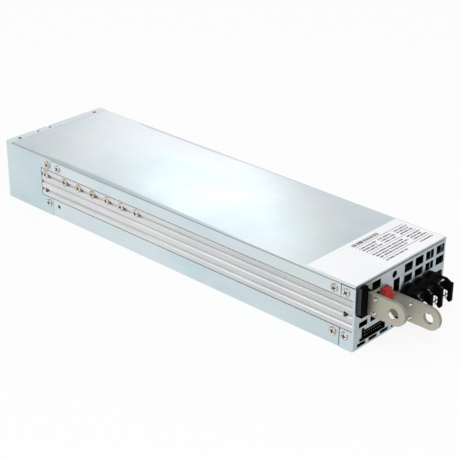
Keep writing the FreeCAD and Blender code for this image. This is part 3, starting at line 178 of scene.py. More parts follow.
world = bpy.data.worlds.new("whiteRoom")
world.use_nodes = True
bpy.context.scene.world = world
roomTree = world.node_tree
roomLevel = addRange(roomTree, seenRays(roomTree), 0.0, 1.0, studio["fill"], 1.0)
roomTree.links.new(roomLevel, roomTree.nodes["Background"].inputs["Strength"])
roomTree.nodes["Background"].inputs["Color"].default_value = (1.0, 1.0, 1.0, 1.0)

floorForm = bmesh.new()
bmesh.ops.create_grid(floorForm, x_segments=1, y_segments=1, size=studio["floorSize"] / 2)
bmesh.ops.translate(floorForm, vec=(0.0, 0.0, -studio["floorDrop"]), verts=floorForm.verts)
floorMesh = bpy.data.meshes.new("paleFloor")
floorForm.to_mesh(floorMesh)
floorForm.free()
floor = bpy.data.objects.new("paleFloor", floorMesh)
bpy.context.scene.collection.objects.link(floor)
floorMaterial = bpy.data.materials.new("paleFloor")
floorMaterial.use_nodes = True
floorTree = floorMaterial.node_tree
floorTree.nodes.remove(floorTree.nodes["Principled BSDF"])
floorPaint = addNode(floorTree, "ShaderNodeBsdfDiffuse", None, {"Color": studio["floorColour"]})
floorGlow = addNode(floorTree, "ShaderNodeEmission", None, {"Strength": 1.0})
floorPath = addNode(floorTree, "ShaderNodeLightPath").outputs
floorMirror = addMath(floorTree, "MULTIPLY", floorPath["Is Glossy Ray"], studio["floorMirror"])
floorSeen = addMath(floorTree, "MAXIMUM", floorPath["Is Camera Ray"], floorPath["Is Transmission Ray"])
floorWhite = addMath(floorTree, "MULTIPLY", floorSeen, studio["floorGlow"])
floorShare = addMath(floorTree, "MAXIMUM", floorMirror, floorWhite)
floorMix = addNode(
    floorTree, "ShaderNodeMixShader", None, None,
    {0: floorShare, 1: floorPaint.outputs[0], 2: floorGlow.outputs[0]},
)
floorTree.links.new(floorMix.outputs[0], floorTree.nodes["Material Output"].inputs["Surface"])
floorMesh.materials.append(floorMaterial)

addLamp("keyBox", studio["keyPlace"], studio["keySize"], studio["keyPower"])
addLamp("rearBox", studio["rearPlace"], studio["rearSize"], studio["rearPower"])
print("camera, floor and lamps set")


# effects that several finishes share

def startGroup(name, inputs, outputs):
    tree = bpy.data.node_groups.new(name, "ShaderNodeTree")
    for label, kind, value in inputs:
        socket = tree.interface.new_socket(label, in_out="INPUT", socket_type=kind)
        if value is not None:
            socket.default_value = value
    for label in outputs:
        tree.interface.new_socket(label, in_out="OUTPUT", socket_type="NodeSocketFloat")
    entry = tree.nodes.new("NodeGroupInput")
    leave = tree.nodes.new("NodeGroupOutput")
    return tree, entry.outputs, leave.inputs


def scaled(tree, vector, factors):
    node = addNode(tree, "ShaderNodeVectorMath", {"operation": "MULTIPLY"}, {1: factors}, {0: vector})
    return node.outputs[0]


def noiseOf(tree, vector, scale, detail=3.0, roughness=0.5, distortion=0.0):
    node = addNode(
        tree, "ShaderNodeTexNoise", None,
        {"Detail": detail, "Roughness": roughness, "Distortion": distortion}, {"Vector": vector},
    )
    plug(tree, node.inputs["Scale"], scale)
    return node.outputs[0]


# clouds of a plated surface, its slow change of tint, rolling streaks along the case, fine tooth
plateNoise = {
    "cloud": (5.0, 0.55, 0.7),  # detail, roughness, distortion
    "cloudSpan": (0.34, 0.68),
    "tint": (3.0, 0.5, 0.4),
    "tintSpan": (0.30, 0.70),
    "tintScale": 0.7,           # share of the group's scale
    "tintShift": (0.37, 0.12, 0.71),
    "streakDetail": 3.0,
    "streakStretch": (60.0, 1.6, 60.0),
    "toothDetail": 2.0,
    "toothScale": 90.0,
}
plateGroup, entry, leave = startGroup(
    "platedClouds",
    [("Vector", "NodeSocketVector", None), ("Scale", "NodeSocketFloat", 16.0)],
    ["Cloud", "Tint", "Streak", "Tooth"],
)
plateMoved = addNode(
    plateGroup, "ShaderNodeVectorMath", {"operation": "ADD"},
    {1: plateNoise["tintShift"]}, {0: entry["Vector"]},
).outputs[0]
plateLong = scaled(plateGroup, entry["Vector"], plateNoise["streakStretch"])
plateSlow = addMath(plateGroup, "MULTIPLY", entry["Scale"], plateNoise["tintScale"])
plateFine = addMath(plateGroup, "MULTIPLY", entry["Scale"], plateNoise["toothScale"])
plateCloud = noiseOf(plateGroup, entry["Vector"], entry["Scale"], *plateNoise["cloud"])
plateTint = noiseOf(plateGroup, plateMoved, plateSlow, *plateNoise["tint"])
plateStreak = noiseOf(plateGroup, plateLong, entry["Scale"], plateNoise["streakDetail"])
plateTooth = noiseOf(plateGroup, entry["Vector"], plateFine, plateNoise["toothDetail"])
plateGroup.links.new(addRange(plateGroup, plateCloud, *plateNoise["cloudSpan"]), leave["Cloud"])
plateGroup.links.new(addRange(plateGroup, plateTint, *plateNoise["tintSpan"]), leave["Tint"])
plateGroup.links.new(plateStreak, leave["Streak"])
plateGroup.links.new(plateTooth, leave["Tooth"])

# fine orange-peel skin of moulded plastic, with rare pale dust
skinNoise = {
    "shadeDetail": 4.0,
    "shadeScale": 0.12,  # share of the group's scale
    "dustDetail": 2.0,
    "dustScale": 0.6,
    "dustSpan": (0.66, 0.78),
    "fineDetail": 2.0,
}
skinGroup, entry, leave = startGroup(
    "mouldedSkin",
    [("Vector", "NodeSocketVector", None), ("Scale", "NodeSocketFloat", 900.0)],
    ["Shade", "Dust", "Skin"],
)
skinBroad = addMath(skinGroup, "MULTIPLY", entry["Scale"], skinNoise["shadeScale"])
skinRare = addMath(skinGroup, "MULTIPLY", entry["Scale"], skinNoise["dustScale"])
skinShade = noiseOf(skinGroup, entry["Vector"], skinBroad, skinNoise["shadeDetail"])
skinDust = noiseOf(skinGroup, entry["Vector"], skinRare, skinNoise["dustDetail"])
skinFine = noiseOf(skinGroup, entry["Vector"], entry["Scale"], skinNoise["fineDetail"])
skinGroup.links.new(skinShade, leave["Shade"])
skinGroup.links.new(addRange(skinGroup, skinDust, *skinNoise["dustSpan"]), leave["Dust"])
skinGroup.links.new(skinFine, leave["Skin"])

# one printed bar or rule on the label, a bar broken into short strokes
printBreaks = {
    "scale": 1.0,  # strokes to the millimetre
    "detail": 1.0,
    "shift": 13.7,  # sets the rows apart
    "gap": 0.40,
}
printGroup, entry, leave = startGroup(
    "printedBar",
    [
        ("X", "NodeSocketFloat", 0.0), ("Y", "NodeSocketFloat", 0.0),
        ("Left", "NodeSocketFloat", 0.0), ("Right", "NodeSocketFloat", 1.0),
        ("Middle", "NodeSocketFloat", 0.0), ("Height", "NodeSocketFloat", 1.0),
        ("Solid", "NodeSocketFloat", 0.0),
    ],
    ["Ink"],
)
printInside = addMath(
    printGroup, "MULTIPLY",
    addMath(printGroup, "GREATER_THAN", entry["X"], entry["Left"]),
    addMath(printGroup, "LESS_THAN", entry["X"], entry["Right"]),
)
printOff = addMath(printGroup, "ABSOLUTE", addMath(printGroup, "SUBTRACT", entry["Y"], entry["Middle"]))
printRow = addMath(printGroup, "LESS_THAN", printOff, addMath(printGroup, "MULTIPLY", entry["Height"], 0.5))
printShift = addMath(printGroup, "MULTIPLY", entry["Middle"], printBreaks["shift"])
printNoise = addNode(
    printGroup, "ShaderNodeTexNoise", {"noise_dimensions": "1D"},
    {"Scale": printBreaks["scale"], "Detail": printBreaks["detail"]},
    {"W": addMath(printGroup, "ADD", entry["X"], printShift)},
)
printStroke = addMath(printGroup, "GREATER_THAN", printNoise.outputs[0], printBreaks["gap"])
printBroken = addMath(printGroup, "MAXIMUM", printStroke, entry["Solid"])
printInk = addMath(printGroup, "MULTIPLY", printRow, printBroken)
printInk = addMath(printGroup, "MULTIPLY", printInside, printInk)
printGroup.links.new(printInk, leave["Ink"])


def useGroup(tree, group, values, wires):
    node = addNode(tree, "ShaderNodeGroup", {"node_tree": group}, values, wires)
    return node.outputs


def startMaterial(name):
    material = bpy.data.materials.new(name)
    material.use_nodes = True
    tree = material.node_tree
    where = addNode(tree, "ShaderNodeTexCoord").outputs["Object"]
    return material, tree, tree.nodes["Principled BSDF"].inputs, where


bumpDepth = 0.1 * mm


def addBump(tree, shader, height, strength, distance=bumpDepth):
    bump = addNode(
        tree, "ShaderNodeBump", None, {"Strength": strength, "Distance": distance}, {"Height": height},
    )
    tree.links.new(bump.outputs[0], shader["Normal"])


# a tone that is 1 inside a band, from the span where it starts to the span where it ends
def addBand(tree, source, start, end):
    return addMath(tree, "MULTIPLY", addRange(tree, source, *start), addRange(tree, source, *end, 1.0, 0.0))


def addSplit(tree, where):
    return addNode(tree, "ShaderNodeSeparateXYZ", None, None, {0: where}).outputs


# plated and drawn metals

# the two long folds of the cover: painted shade as a dark line under each and a dark band on top that widens
# toward the rear, and a painted highlight on the bend toward the front
def foldShadeAndHighlight(tree, where, fold):
    place = addSplit(tree, where)
    fromSide = addMath(tree, "SUBTRACT", fold["half"], addMath(tree, "ABSOLUTE", place[0]))
    fromTop = addMath(tree, "SUBTRACT", fold["top"], place[2])
    line = addBand(tree, fromTop, fold["lineStart"], fold["lineEnd"])
    line = addMath(tree, "MULTIPLY", line, addRange(tree, fromSide, *fold["bend"], 1.0, 0.0))
    width = addRange(tree, place[1], *fold["stretch"], *fold["widths"])
    width = addMath(tree, "MULTIPLY", width, addRange(tree, place[1], *fold["ending"], 1.0, fold["endShare"]))
    band = addRange(tree, addMath(tree, "DIVIDE", fromSide, width), *fold["bandEdge"], 1.0, 0.0)
    band = addMath(tree, "MULTIPLY", band, addRange(tree, fromTop, *fold["bend"], 1.0, 0.0))
    bend = addRange(tree, addMath(tree, "MAXIMUM", fromSide, fromTop), *fold["bend"], 1.0, 0.0)
    bend = addMath(tree, "MULTIPLY", bend, addRange(tree, place[1], *fold["stretch"], *fold["bendHighlight"]))
    tone = addRange(tree, line, 0.0, 1.0, 1.0, fold["lineShade"])
    tone = addMath(tree, "MULTIPLY", tone, addRange(tree, band, 0.0, 1.0, 1.0, fold["bandShade"]))
    return addMath(tree, "MULTIPLY", tone, addMath(tree, "ADD", bend, 1.0))


# painted shade and highlight over a sheet: each change holds where all its spans do, along their directions
def paintedSlopeLight(tree, where, slopes):
    tone = 1.0
    for slope in slopes:
        share = 1.0
        for direction, span in slope["spans"]:
            lead = addNode(
                tree, "ShaderNodeVectorMath", {"operation": "DOT_PRODUCT"}, {1: direction}, {0: where},
            ).outputs["Value"]
            share = addMath(tree, "MULTIPLY", share, addRange(tree, lead, *span))
        tone = addMath(tree, "MULTIPLY", tone, addRange(tree, share, 0.0, 1.0, 1.0, slope["tone"]))
    return tone


# grooves of the extrusion: painted shade on the floor and upper wall, a painted highlight on the lower lip
# that grows toward the front, and painted shade over the whole sheet toward the front
def groovePaintedLight(tree, where, groove):
    place = addSplit(tree, where)
    turn = addMath(tree, "DIVIDE", addMath(tree, "SUBTRACT", place[2], groove["first"]), groove["pitch"])
    turn = addMath(tree, "FRACT", addMath(tree, "ADD", turn, groove["middle"]))
    lip = addBand(tree, turn, groove["lipStart"], groove["lipEnd"])
    lip = addMath(tree, "MULTIPLY", lip, addRange(tree, place[1], *groove["stretch"], *groove["lipHighlight"]))
    dull = addBand(tree, turn, groove["lipEnd"], groove["dullEnd"])
    dull = addMath(tree, "MULTIPLY", dull, groove["dullLoss"])
    plain = addRange(tree, place[1], *groove["slope"], *groove["shadeLevels"])
    return addMath(tree, "SUBTRACT", addMath(tree, "ADD", lip, plain), dull)


streakSpan = (0.3, 0.7)
# directions on the case
toFront, toLeft, toRight, toTop = (0.0, -1.0, 0.0), (-1.0, 0.0, 0.0), (1.0, 0.0, 0.0), (0.0, 0.0, 1.0)
toRear, toRearLeft = (0.0, 1.0, 0.0), (-1.0, 1.0, 0.0)


def platedMetal(name, look):
    material, tree, shader, where = startMaterial(name)
    plate = useGroup(tree, plateGroup, {"Scale": look["scale"]}, {"Vector": where})
    colour = addRamp(tree, plate["Tint"], look["tints"])
    cloud = addMath(tree, "MULTIPLY", plate["Cloud"], look["cloud"])
    colour = addMix(tree, cloud, colour, (*look["pale"], 1.0))
    gain = look.get("gain", 1.0)
    weak, strong = gain * (1.0 - look["streak"]), gain * (1.0 + look["streak"])
    grain = addRange(tree, plate["Streak"], *streakSpan, weak, strong)
    if "fold" in look:
        grain = addMath(tree, "MULTIPLY", grain, foldShadeAndHighlight(tree, where, look["fold"]))
    if "slopes" in look:
        grain = addMath(tree, "MULTIPLY", grain, paintedSlopeLight(tree, where, look["slopes"]))
    if "groove" in look:
        grain = addMath(tree, "MULTIPLY", grain, groovePaintedLight(tree, where, look["groove"]))
    grey = addNode(tree, "ShaderNodeCombineColor", None, None, {0: grain, 1: grain, 2: grain}).outputs[0]
    colour = addMix(tree, 1.0, colour, grey, "MULTIPLY")
    tree.links.new(colour, shader["Base Color"])
    smooth, coarse = look["rough"] - look["swing"], look["rough"] + look["swing"]
    tree.links.new(addRange(tree, plate["Cloud"], 0.0, 1.0, smooth, coarse), shader["Roughness"])
    shader["Metallic"].default_value = 1.0
    addBump(tree, shader, plate["Tooth"], look["bump"])
    return material


zincLook = {
    "scale": 16.0,
    "tints": [
        (0.10, (0.515, 0.635, 0.695)), (0.36, (0.570, 0.680, 0.725)), (0.56, (0.590, 0.695, 0.705)),
        (0.74, (0.600, 0.652, 0.728)), (0.92, (0.650, 0.674, 0.698)),
    ],
    "pale": (0.705, 0.772, 0.795),
    "cloud": 0.45,
    "streak": 0.02,
    "rough": 0.27,
    "swing": 0.05,
    "bump": 0.05,
}
coverEnd = boxOf("top_cover")[1]
topSheet = (coverEnd.z - 0.8 * mm, coverEnd.z - 0.4 * mm)  # from none to all of the tone, upwards
skirt = (coverEnd.z - 0.4 * mm, coverEnd.z - 0.8 * mm)
coverLook = dict(
    zincLook,
    tints=[
        (0.10, (0.532, 0.638, 0.690)), (0.36, (0.590, 0.683, 0.718)), (0.56, (0.612, 0.698, 0.700)),
        (0.74, (0.620, 0.655, 0.722)), (0.92, (0.665, 0.680, 0.698)),
    ],
    pale=(0.735, 0.776, 0.790),
    slopes=[  # painted shade on the front right and rear left corners of the top, painted highlight on the skirt
        {"spans": [(toRearLeft, (-50.0 * mm, -100.0 * mm)), (toTop, topSheet)], "tone": 0.86},
        {"spans": [(toRearLeft, (105.0 * mm, 165.0 * mm)), (toTop, topSheet)], "tone": 0.85},
        {"spans": [(toTop, skirt)], "tone": 1.07},
    ],
    # painted shade and highlight along the cover's folds
    fold={
        "half": coverEnd.x, "top": coverEnd.z, "bend": (0.5 * mm, 0.9 * mm), "bendHighlight": (0.5, 0.0),
        "lineStart": (0.70 * mm, 0.90 * mm), "lineEnd": (1.50 * mm, 1.80 * mm), "lineShade": 0.52,
        "stretch": (-70.0 * mm, 40.0 * mm), "widths": (0.5 * mm, 3.6 * mm), "bandEdge": (0.7, 1.0),
        "ending": (98.0 * mm, 112.0 * mm), "endShare": 0.33, "bandShade": 0.74,
    },
)
chassisLook = dict(
    zincLook,
    gain=1.05,
    # a copy of the zinc lightened by its gain, with painted shade darkening it toward the front
    slopes=[{"spans": [(toFront, (60.0 * mm, 150.0 * mm))], "tone": 0.88}],
)
# a darker copy of the zinc, given to the panel's front faces only as painted shade
panelShadeLook = dict(
    zincLook,
    tints=[
        (0.10, (0.308, 0.364, 0.400)), (0.36, (0.356, 0.420, 0.452)), (0.56, (0.380, 0.448, 0.460)),
        (0.74, (0.348, 0.392, 0.424)), (0.92, (0.424, 0.456, 0.480)),
    ],
    pale=(0.464, 0.512, 0.532),
    scale=26.0,
)
sinkLook = {
    "scale": 22.0,
    "tints": [(0.2, (0.680, 0.685, 0.700)), (0.5, (0.705, 0.716, 0.712)), (0.8, (0.715, 0.708, 0.735))],
    "pale": (0.775, 0.785, 0.790),
    "cloud": 0.25,
    "streak": 0.06,
    "rough": 0.46,
    "swing": 0.04,
    "bump": 0.08,
    "groove": {  # places within one pitch are shares of it, with the groove at the middle
        "first": 16.8 * mm, "pitch": 5.35 * mm, "middle": 0.5,
        "lipStart": (0.23, 0.27), "lipEnd": (0.37, 0.40), "dullEnd": (0.50, 0.60), "dullLoss": 0.22,
        "stretch": (60.0 * mm, -60.0 * mm), "lipHighlight": (0.04, 0.42),
        # painted shade: the sheet darkens from the rear toward the front
        "slope": (20.0 * mm, -140.0 * mm), "shadeLevels": (1.02, 0.92),
    },
}
tabLook = {
    "scale": 40.0,
    "tints": [(0.2, (0.470, 0.452, 0.365)), (0.5, (0.520, 0.502, 0.415)), (0.8, (0.560, 0.543, 0.465))],
    "pale": (0.640, 0.625, 0.560),
    "cloud": 0.35,
    "streak": 0.04,
    "rough": 0.48,
    "swing": 0.05,
    "bump": 0.08,
}
# a darker copy of the tab metal for rims and hole walls: painted shade
shadedTabEdgeLook = dict(
    tabLook,
    tints=[(0.2, (0.255, 0.238, 0.190)), (0.5, (0.300, 0.283, 0.232)), (0.8, (0.345, 0.328, 0.276))],
    pale=(0.430, 0.412, 0.360),
)
screwLook = {
    "scale": 120.0,
    "tints": [(0.2, (0.690, 0.625, 0.550)), (0.5, (0.770, 0.715, 0.640)), (0.8, (0.830, 0.790, 0.730))],
    "pale": (0.880, 0.855, 0.815),
    "cloud": 0.4,
    "streak": 0.03,
    "rough": 0.38,
    "swing": 0.06,
    "bump": 0.05,
}
nickelLook = {
    "scale": 90.0,
    "tints": [(0.2, (0.760, 0.745, 0.710)), (0.5, (0.820, 0.810, 0.785)), (0.8, (0.870, 0.862, 0.845))],
    "pale": (0.920, 0.915, 0.905),
    "cloud": 0.3,
    "streak": 0.03,
    "rough": 0.16,
    "swing": 0.05,
    "bump": 0.04,
}
# bright nickel for the lower walls of the tabs' holes: painted glints
boreGlintLook = dict(nickelLook, rough=0.44)
# pins darkened well below their own gold, as painted shade for their place in the header
shadedPinLook = {
    "scale": 200.0,
    "tints": [(0.2, (0.200, 0.175, 0.125)), (0.5, (0.260, 0.235, 0.180)), (0.8, (0.320, 0.295, 0.240))],
    "pale": (0.400, 0.385, 0.340),
    "cloud": 0.4,
    "streak": 0.02,
    "rough": 0.25,
    "swing": 0.05,
    "bump": 0.03,
}
# dark grey for sheet edges that sit in shade: painted shade
edgeShadeLook = {
    "scale": 150.0,
    "tints": [(0.2, (0.270, 0.288, 0.305)), (0.5, (0.330, 0.350, 0.368)), (0.8, (0.390, 0.408, 0.425))],
    "pale": (0.460, 0.480, 0.495),
    "cloud": 0.3,
    "streak": 0.05,
    "rough": 0.5,
    "swing": 0.05,
    "bump": 0.1,
}
# a darker brown copy of the screw steel for the rim of a head: painted shade
rimShadeLook = dict(
    screwLook,
    tints=[(0.2, (0.330, 0.275, 0.215)), (0.5, (0.420, 0.365, 0.300)), (0.8, (0.520, 0.465, 0.400))],
    pale=(0.640, 0.590, 0.530),
)
darkLook = dict(
    screwLook,
    tints=[(0.2, (0.045, 0.042, 0.040)), (0.5, (0.075, 0.070, 0.066)), (0.8, (0.110, 0.104, 0.098))],
    pale=(0.170, 0.162, 0.152),
)
# dark brown for screw recesses and a hole wall: painted shade
recessLook = {
    "scale": 200.0,
    "tints": [(0.2, (0.060, 0.036, 0.024)), (0.5, (0.090, 0.055, 0.038)), (0.8, (0.130, 0.085, 0.060))],
    "pale": (0.200, 0.150, 0.110),
    "cloud": 0.3,
    "streak": 0.05,
    "rough": 0.5,
    "swing": 0.05,
    "bump": 0.1,
}
zincSteel = platedMetal("zincSteel", zincLook)
coverZinc = platedMetal("coverZinc", coverLook)
chassisZinc = platedMetal("chassisZinc", chassisLook)
panelShadeZinc = platedMetal("panelShadeZinc", panelShadeLook)
sinkAluminium = platedMetal("sinkAluminium", sinkLook)
tabMetal = platedMetal("tabMetal", tabLook)
shadedTabEdge = platedMetal("shadedTabEdge", shadedTabEdgeLook)
screwSteel = platedMetal("screwSteel", screwLook)
nickelPlate = platedMetal("nickelPlate", nickelLook)
boreGlint = platedMetal("boreGlint", boreGlintLook)
shadedPinMetal = platedMetal("shadedPinMetal", shadedPinLook)
edgeShadeSteel = platedMetal("edgeShadeSteel", edgeShadeLook)
rimShadeSteel = platedMetal("rimShadeSteel", rimShadeLook)
darkSteel = platedMetal("darkSteel", darkLook)
recessShade = platedMetal("recessShade", recessLook)


# moulded plastics and resin

plasticSkin = {
    "span": (0.3, 0.7),  # of the shade, from deep to light
    "swing": 0.05,       # of the roughness
}


def mouldedPlastic(name, look):
    material, tree, shader, where = startMaterial(name)
    skin = useGroup(tree, skinGroup, {"Scale": look["scale"]}, {"Vector": where})
    colour = addRamp(tree, skin["Shade"], list(zip(plasticSkin["span"], (look["deep"], look["light"]))))
    dust = addMath(tree, "MULTIPLY", skin["Dust"], look["dust"])
    colour = addMix(tree, dust, colour, (*look["dustColour"], 1.0))
    tree.links.new(colour, shader["Base Color"])
    smooth, coarse = look["rough"] - plasticSkin["swing"], look["rough"] + plasticSkin["swing"]
    tree.links.new(addRange(tree, skin["Shade"], *plasticSkin["span"], smooth, coarse), shader["Roughness"])
    shader["Specular IOR Level"].default_value = look["gloss"]
    addBump(tree, shader, skin["Skin"], look["bump"])
    return material


plasticLooks = {
    "blackPlastic": {
        "scale": 900.0, "deep": (0.0010, 0.0009, 0.0010), "light": (0.0028, 0.0026, 0.0027),
        "dust": 0.015, "dustColour": (0.30, 0.28, 0.26), "rough": 0.34, "gloss": 0.012, "bump": 0.06,
    },
    # grey black for one side of the black bush: a painted sheen
    "sheenPlastic": {
        "scale": 900.0, "deep": (0.042, 0.041, 0.045), "light": (0.062, 0.060, 0.065),
        "dust": 0.02, "dustColour": (0.30, 0.28, 0.26), "rough": 0.40, "gloss": 0.10, "bump": 0.06,
    },
    "redPlastic": {
        "scale": 900.0, "deep": (0.400, 0.010, 0.014), "light": (0.520, 0.024, 0.028),
        "dust": 0.03, "dustColour": (0.80, 0.50, 0.48), "rough": 0.34, "gloss": 0.25, "bump": 0.05,
    },
    "fanPlastic": {
        "scale": 700.0, "deep": (0.006, 0.006, 0.007), "light": (0.014, 0.014, 0.015),
        "dust": 0.05, "dustColour": (0.32, 0.30, 0.27), "rough": 0.42, "gloss": 0.3, "bump": 0.08,
    },
    "blackEpoxy": {
        "scale": 1400.0, "deep": (0.008, 0.008, 0.009), "light": (0.020, 0.019, 0.019),
        "dust": 0.04, "dustColour": (0.30, 0.28, 0.25), "rough": 0.55, "gloss": 0.35, "bump": 0.12,
    },
    "bluePlastic": {
        "scale": 900.0, "deep": (0.005, 0.016, 0.060), "light": (0.010, 0.030, 0.095),
        "dust": 0.04, "dustColour": (0.25, 0.28, 0.34), "rough": 0.40, "gloss": 0.25, "bump": 0.05,
    },
    # dark grey instead of the boxes' lighter colour: painted shade for the inside of the case
    "shadedFilmBox": {
        "scale": 900.0, "deep": (0.030, 0.030, 0.034), "light": (0.055, 0.055, 0.060),
        "dust": 0.05, "dustColour": (0.30, 0.30, 0.30), "rough": 0.45, "gloss": 0.25, "bump": 0.06,
    },
    "canSleeve": {
        "scale": 500.0, "deep": (0.012, 0.014, 0.022), "light": (0.030, 0.034, 0.048),
        "dust": 0.05, "dustColour": (0.40, 0.40, 0.42), "rough": 0.36, "gloss": 0.45, "bump": 0.05,
    },
    "ferrite": {
        "scale": 1600.0, "deep": (0.030, 0.028, 0.027), "light": (0.070, 0.066, 0.062),
        "dust": 0.10, "dustColour": (0.20, 0.19, 0.18), "rough": 0.62, "gloss": 0.3, "bump": 0.25,
    },
    "smokeFilm": {
        "scale": 240.0, "deep": (0.105, 0.095, 0.080), "light": (0.160, 0.148, 0.125),
        "dust": 0.05, "dustColour": (0.45, 0.43, 0.40), "rough": 0.28, "gloss": 0.5, "bump": 0.10,
    },
}
plastics = {name: mouldedPlastic(name, look) for name, look in plasticLooks.items()}


# wound wire: lacquered copper with turns side by side

wireLook = {
    "pitch": 1100.0,
    "waver": 0.6,
    "detail": 1.0,
    "deep": (0.180, 0.045, 0.016),
    "light": (0.620, 0.230, 0.095),
    "ramp": (0.05, 0.75),  # where deep ends and light begins
    "patchScale": 220.0,
    "patchSpan": (0.3, 0.7),
    "patch": 0.45,
    "metallic": 0.7,
    "rough": 0.30,
    "swing": 0.06,
    "bump": 0.5,
    "bumpDepth": 0.2 * mm,
}


def woundWire(name, look):
    material, tree, shader, where = startMaterial(name)
    turns = addNode(
        tree, "ShaderNodeTexWave", {"wave_type": "BANDS", "bands_direction": "DIAGONAL"},
        {"Scale": look["pitch"] / 2, "Distortion": look["waver"], "Detail": look["detail"]},
        {"Vector": where},
    ).outputs[1]
    shade = noiseOf(tree, where, look["patchScale"])
    colour = addRamp(tree, turns, list(zip(look["ramp"], (look["deep"], look["light"]))))
    patch = addRange(tree, shade, *look["patchSpan"], 0.0, look["patch"])
    colour = addMix(tree, patch, colour, (*look["deep"], 1.0))
    tree.links.new(colour, shader["Base Color"])
    smooth, coarse = look["rough"] - look["swing"], look["rough"] + look["swing"]
    tree.links.new(addRange(tree, shade, *look["patchSpan"], smooth, coarse), shader["Roughness"])
    shader["Metallic"].default_value = look["metallic"]
    addBump(tree, shader, turns, look["bump"], look["bumpDepth"])
    return material


copperWire = woundWire("copperWire", wireLook)


# circuit board: green mask over tracks, with bare pads

boardLook = {
    # greens kept near black over the board's own colour: painted shade for the inside of the case
    "mask": (0.004, 0.028, 0.014),
    "track": (0.008, 0.050, 0.024),
    "trackSpan": (0.30, 0.34),
    "trackJitter": 0.55,
    "pad": (0.320, 0.310, 0.280),
    "padSpan": (0.16, 0.12),
    "padJitter": 0.35,
    "padGrid": 0.8,  # share of the grid
    "grid": 260.0,
    "rough": 0.34,
    "padRough": 0.26,
    "bump": 0.2,
}


def circuitBoard(name, look):
    material, tree, shader, where = startMaterial(name)
    runs = addNode(
        tree, "ShaderNodeTexVoronoi", {"distance": "CHEBYCHEV", "feature": "F1"},
        {"Scale": look["grid"], "Randomness": look["trackJitter"]}, {"Vector": where},
    ).outputs["Distance"]
    track = addRange(tree, runs, *look["trackSpan"])
    dots = addNode(
        tree, "ShaderNodeTexVoronoi", {"feature": "F1"},
        {"Scale": look["grid"] * look["padGrid"], "Randomness": look["padJitter"]}, {"Vector": where},
    ).outputs["Distance"]
    pad = addRange(tree, dots, *look["padSpan"])
    colour = addMix(tree, track, (*look["mask"], 1.0), (*look["track"], 1.0))
    colour = addMix(tree, pad, colour, (*look["pad"], 1.0))
    tree.links.new(colour, shader["Base Color"])
    tree.links.new(pad, shader["Metallic"])
    tree.links.new(addRange(tree, pad, 0.0, 1.0, look["rough"], look["padRough"]), shader["Roughness"])
    addBump(tree, shader, track, look["bump"])
    return material


boardGreen = circuitBoard("boardGreen", boardLook)


# paper label with a plain generic table on its right half

labelLook = {
    "paper": (0.930, 0.936, 0.950),
    "shade": (0.900, 0.907, 0.926),
    "shadeScale": 30.0,
    "shadeDetail": 2.0,
    "shadeSpan": (0.35, 0.65),
    "fibreScale": 1400.0,
    "fibreSpan": (0.3, 0.7),
    "ink": (0.050, 0.048, 0.058),
    "inkSpan": (0.3, 0.6),  # of the fibre
    "inkShare": (0.72, 0.92),
    "rough": 0.42,
    "swing": 0.05,
    "gloss": 0.3,
    "bump": 0.05,
    # distance from the rear edge and height in mm, 1 for an unbroken rule, ends of the bars from the middle
    "rows": [
        (4.5, 2.8, 0.0, [(-6.0, 18.0)]),
        (7.2, 0.45, 1.0, [(-6.0, 38.5)]),
        (9.7, 1.3, 0.0, [(-6.0, 9.0), (11.0, 23.0), (26.0, 38.5)]),
        (12.1, 1.3, 0.0, [(-6.0, 7.0), (11.0, 24.0), (26.0, 37.0)]),
        (14.5, 1.3, 0.0, [(-6.0, 9.0), (11.0, 22.0), (26.0, 38.5)]),
        (16.7, 0.45, 1.0, [(-6.0, 38.5)]),
        (19.2, 1.3, 0.0, [(-6.0, 22.0), (26.0, 38.5)]),
        (21.6, 1.3, 0.0, [(-6.0, 24.0), (26.0, 36.5)]),
        (24.0, 1.3, 0.0, [(-6.0, 20.0), (26.0, 38.5)]),
        (26.2, 0.45, 1.0, [(-6.0, 38.5)]),
        (28.6, 1.3, 0.0, [(-6.0, 14.0), (26.0, 38.5)]),
    ],
}


def printedPaper(name, look):
    material, tree, shader, where = startMaterial(name)
    place = addSplit(tree, scaled(tree, where, (1.0 / mm, 1.0 / mm, 1.0 / mm)))
    low, high = boxOf("label_sticker")
    centre = (low.x + high.x) / 2 / mm
    ink = 0.0
    for fromRear, height, solid, bars in look["rows"]:
        row = {"Middle": high.y / mm - fromRear, "Height": height, "Solid": solid}
        for left, right in bars:
            bar = useGroup(
                tree, printGroup, dict(row, Left=centre + left, Right=centre + right),
                {"X": place[0], "Y": place[1]},
            )["Ink"]
            ink = addMath(tree, "MAXIMUM", ink, bar)
    fibre = noiseOf(tree, where, look["fibreScale"])
    shade = addRange(tree, noiseOf(tree, where, look["shadeScale"], look["shadeDetail"]), *look["shadeSpan"])
    paper = addMix(tree, shade, (*look["paper"], 1.0), (*look["shade"], 1.0))
    worn = addMath(tree, "MULTIPLY", ink, addRange(tree, fibre, *look["inkSpan"], *look["inkShare"]))
    tree.links.new(addMix(tree, worn, paper, (*look["ink"], 1.0)), shader["Base Color"])
    smooth, coarse = look["rough"] - look["swing"], look["rough"] + look["swing"]
    tree.links.new(addRange(tree, fibre, *look["fibreSpan"], smooth, coarse), shader["Roughness"])
    shader["Specular IOR Level"].default_value = look["gloss"]
    addBump(tree, shader, fibre, look["bump"])
    return material


labelPaper = printedPaper("labelPaper", labelLook)

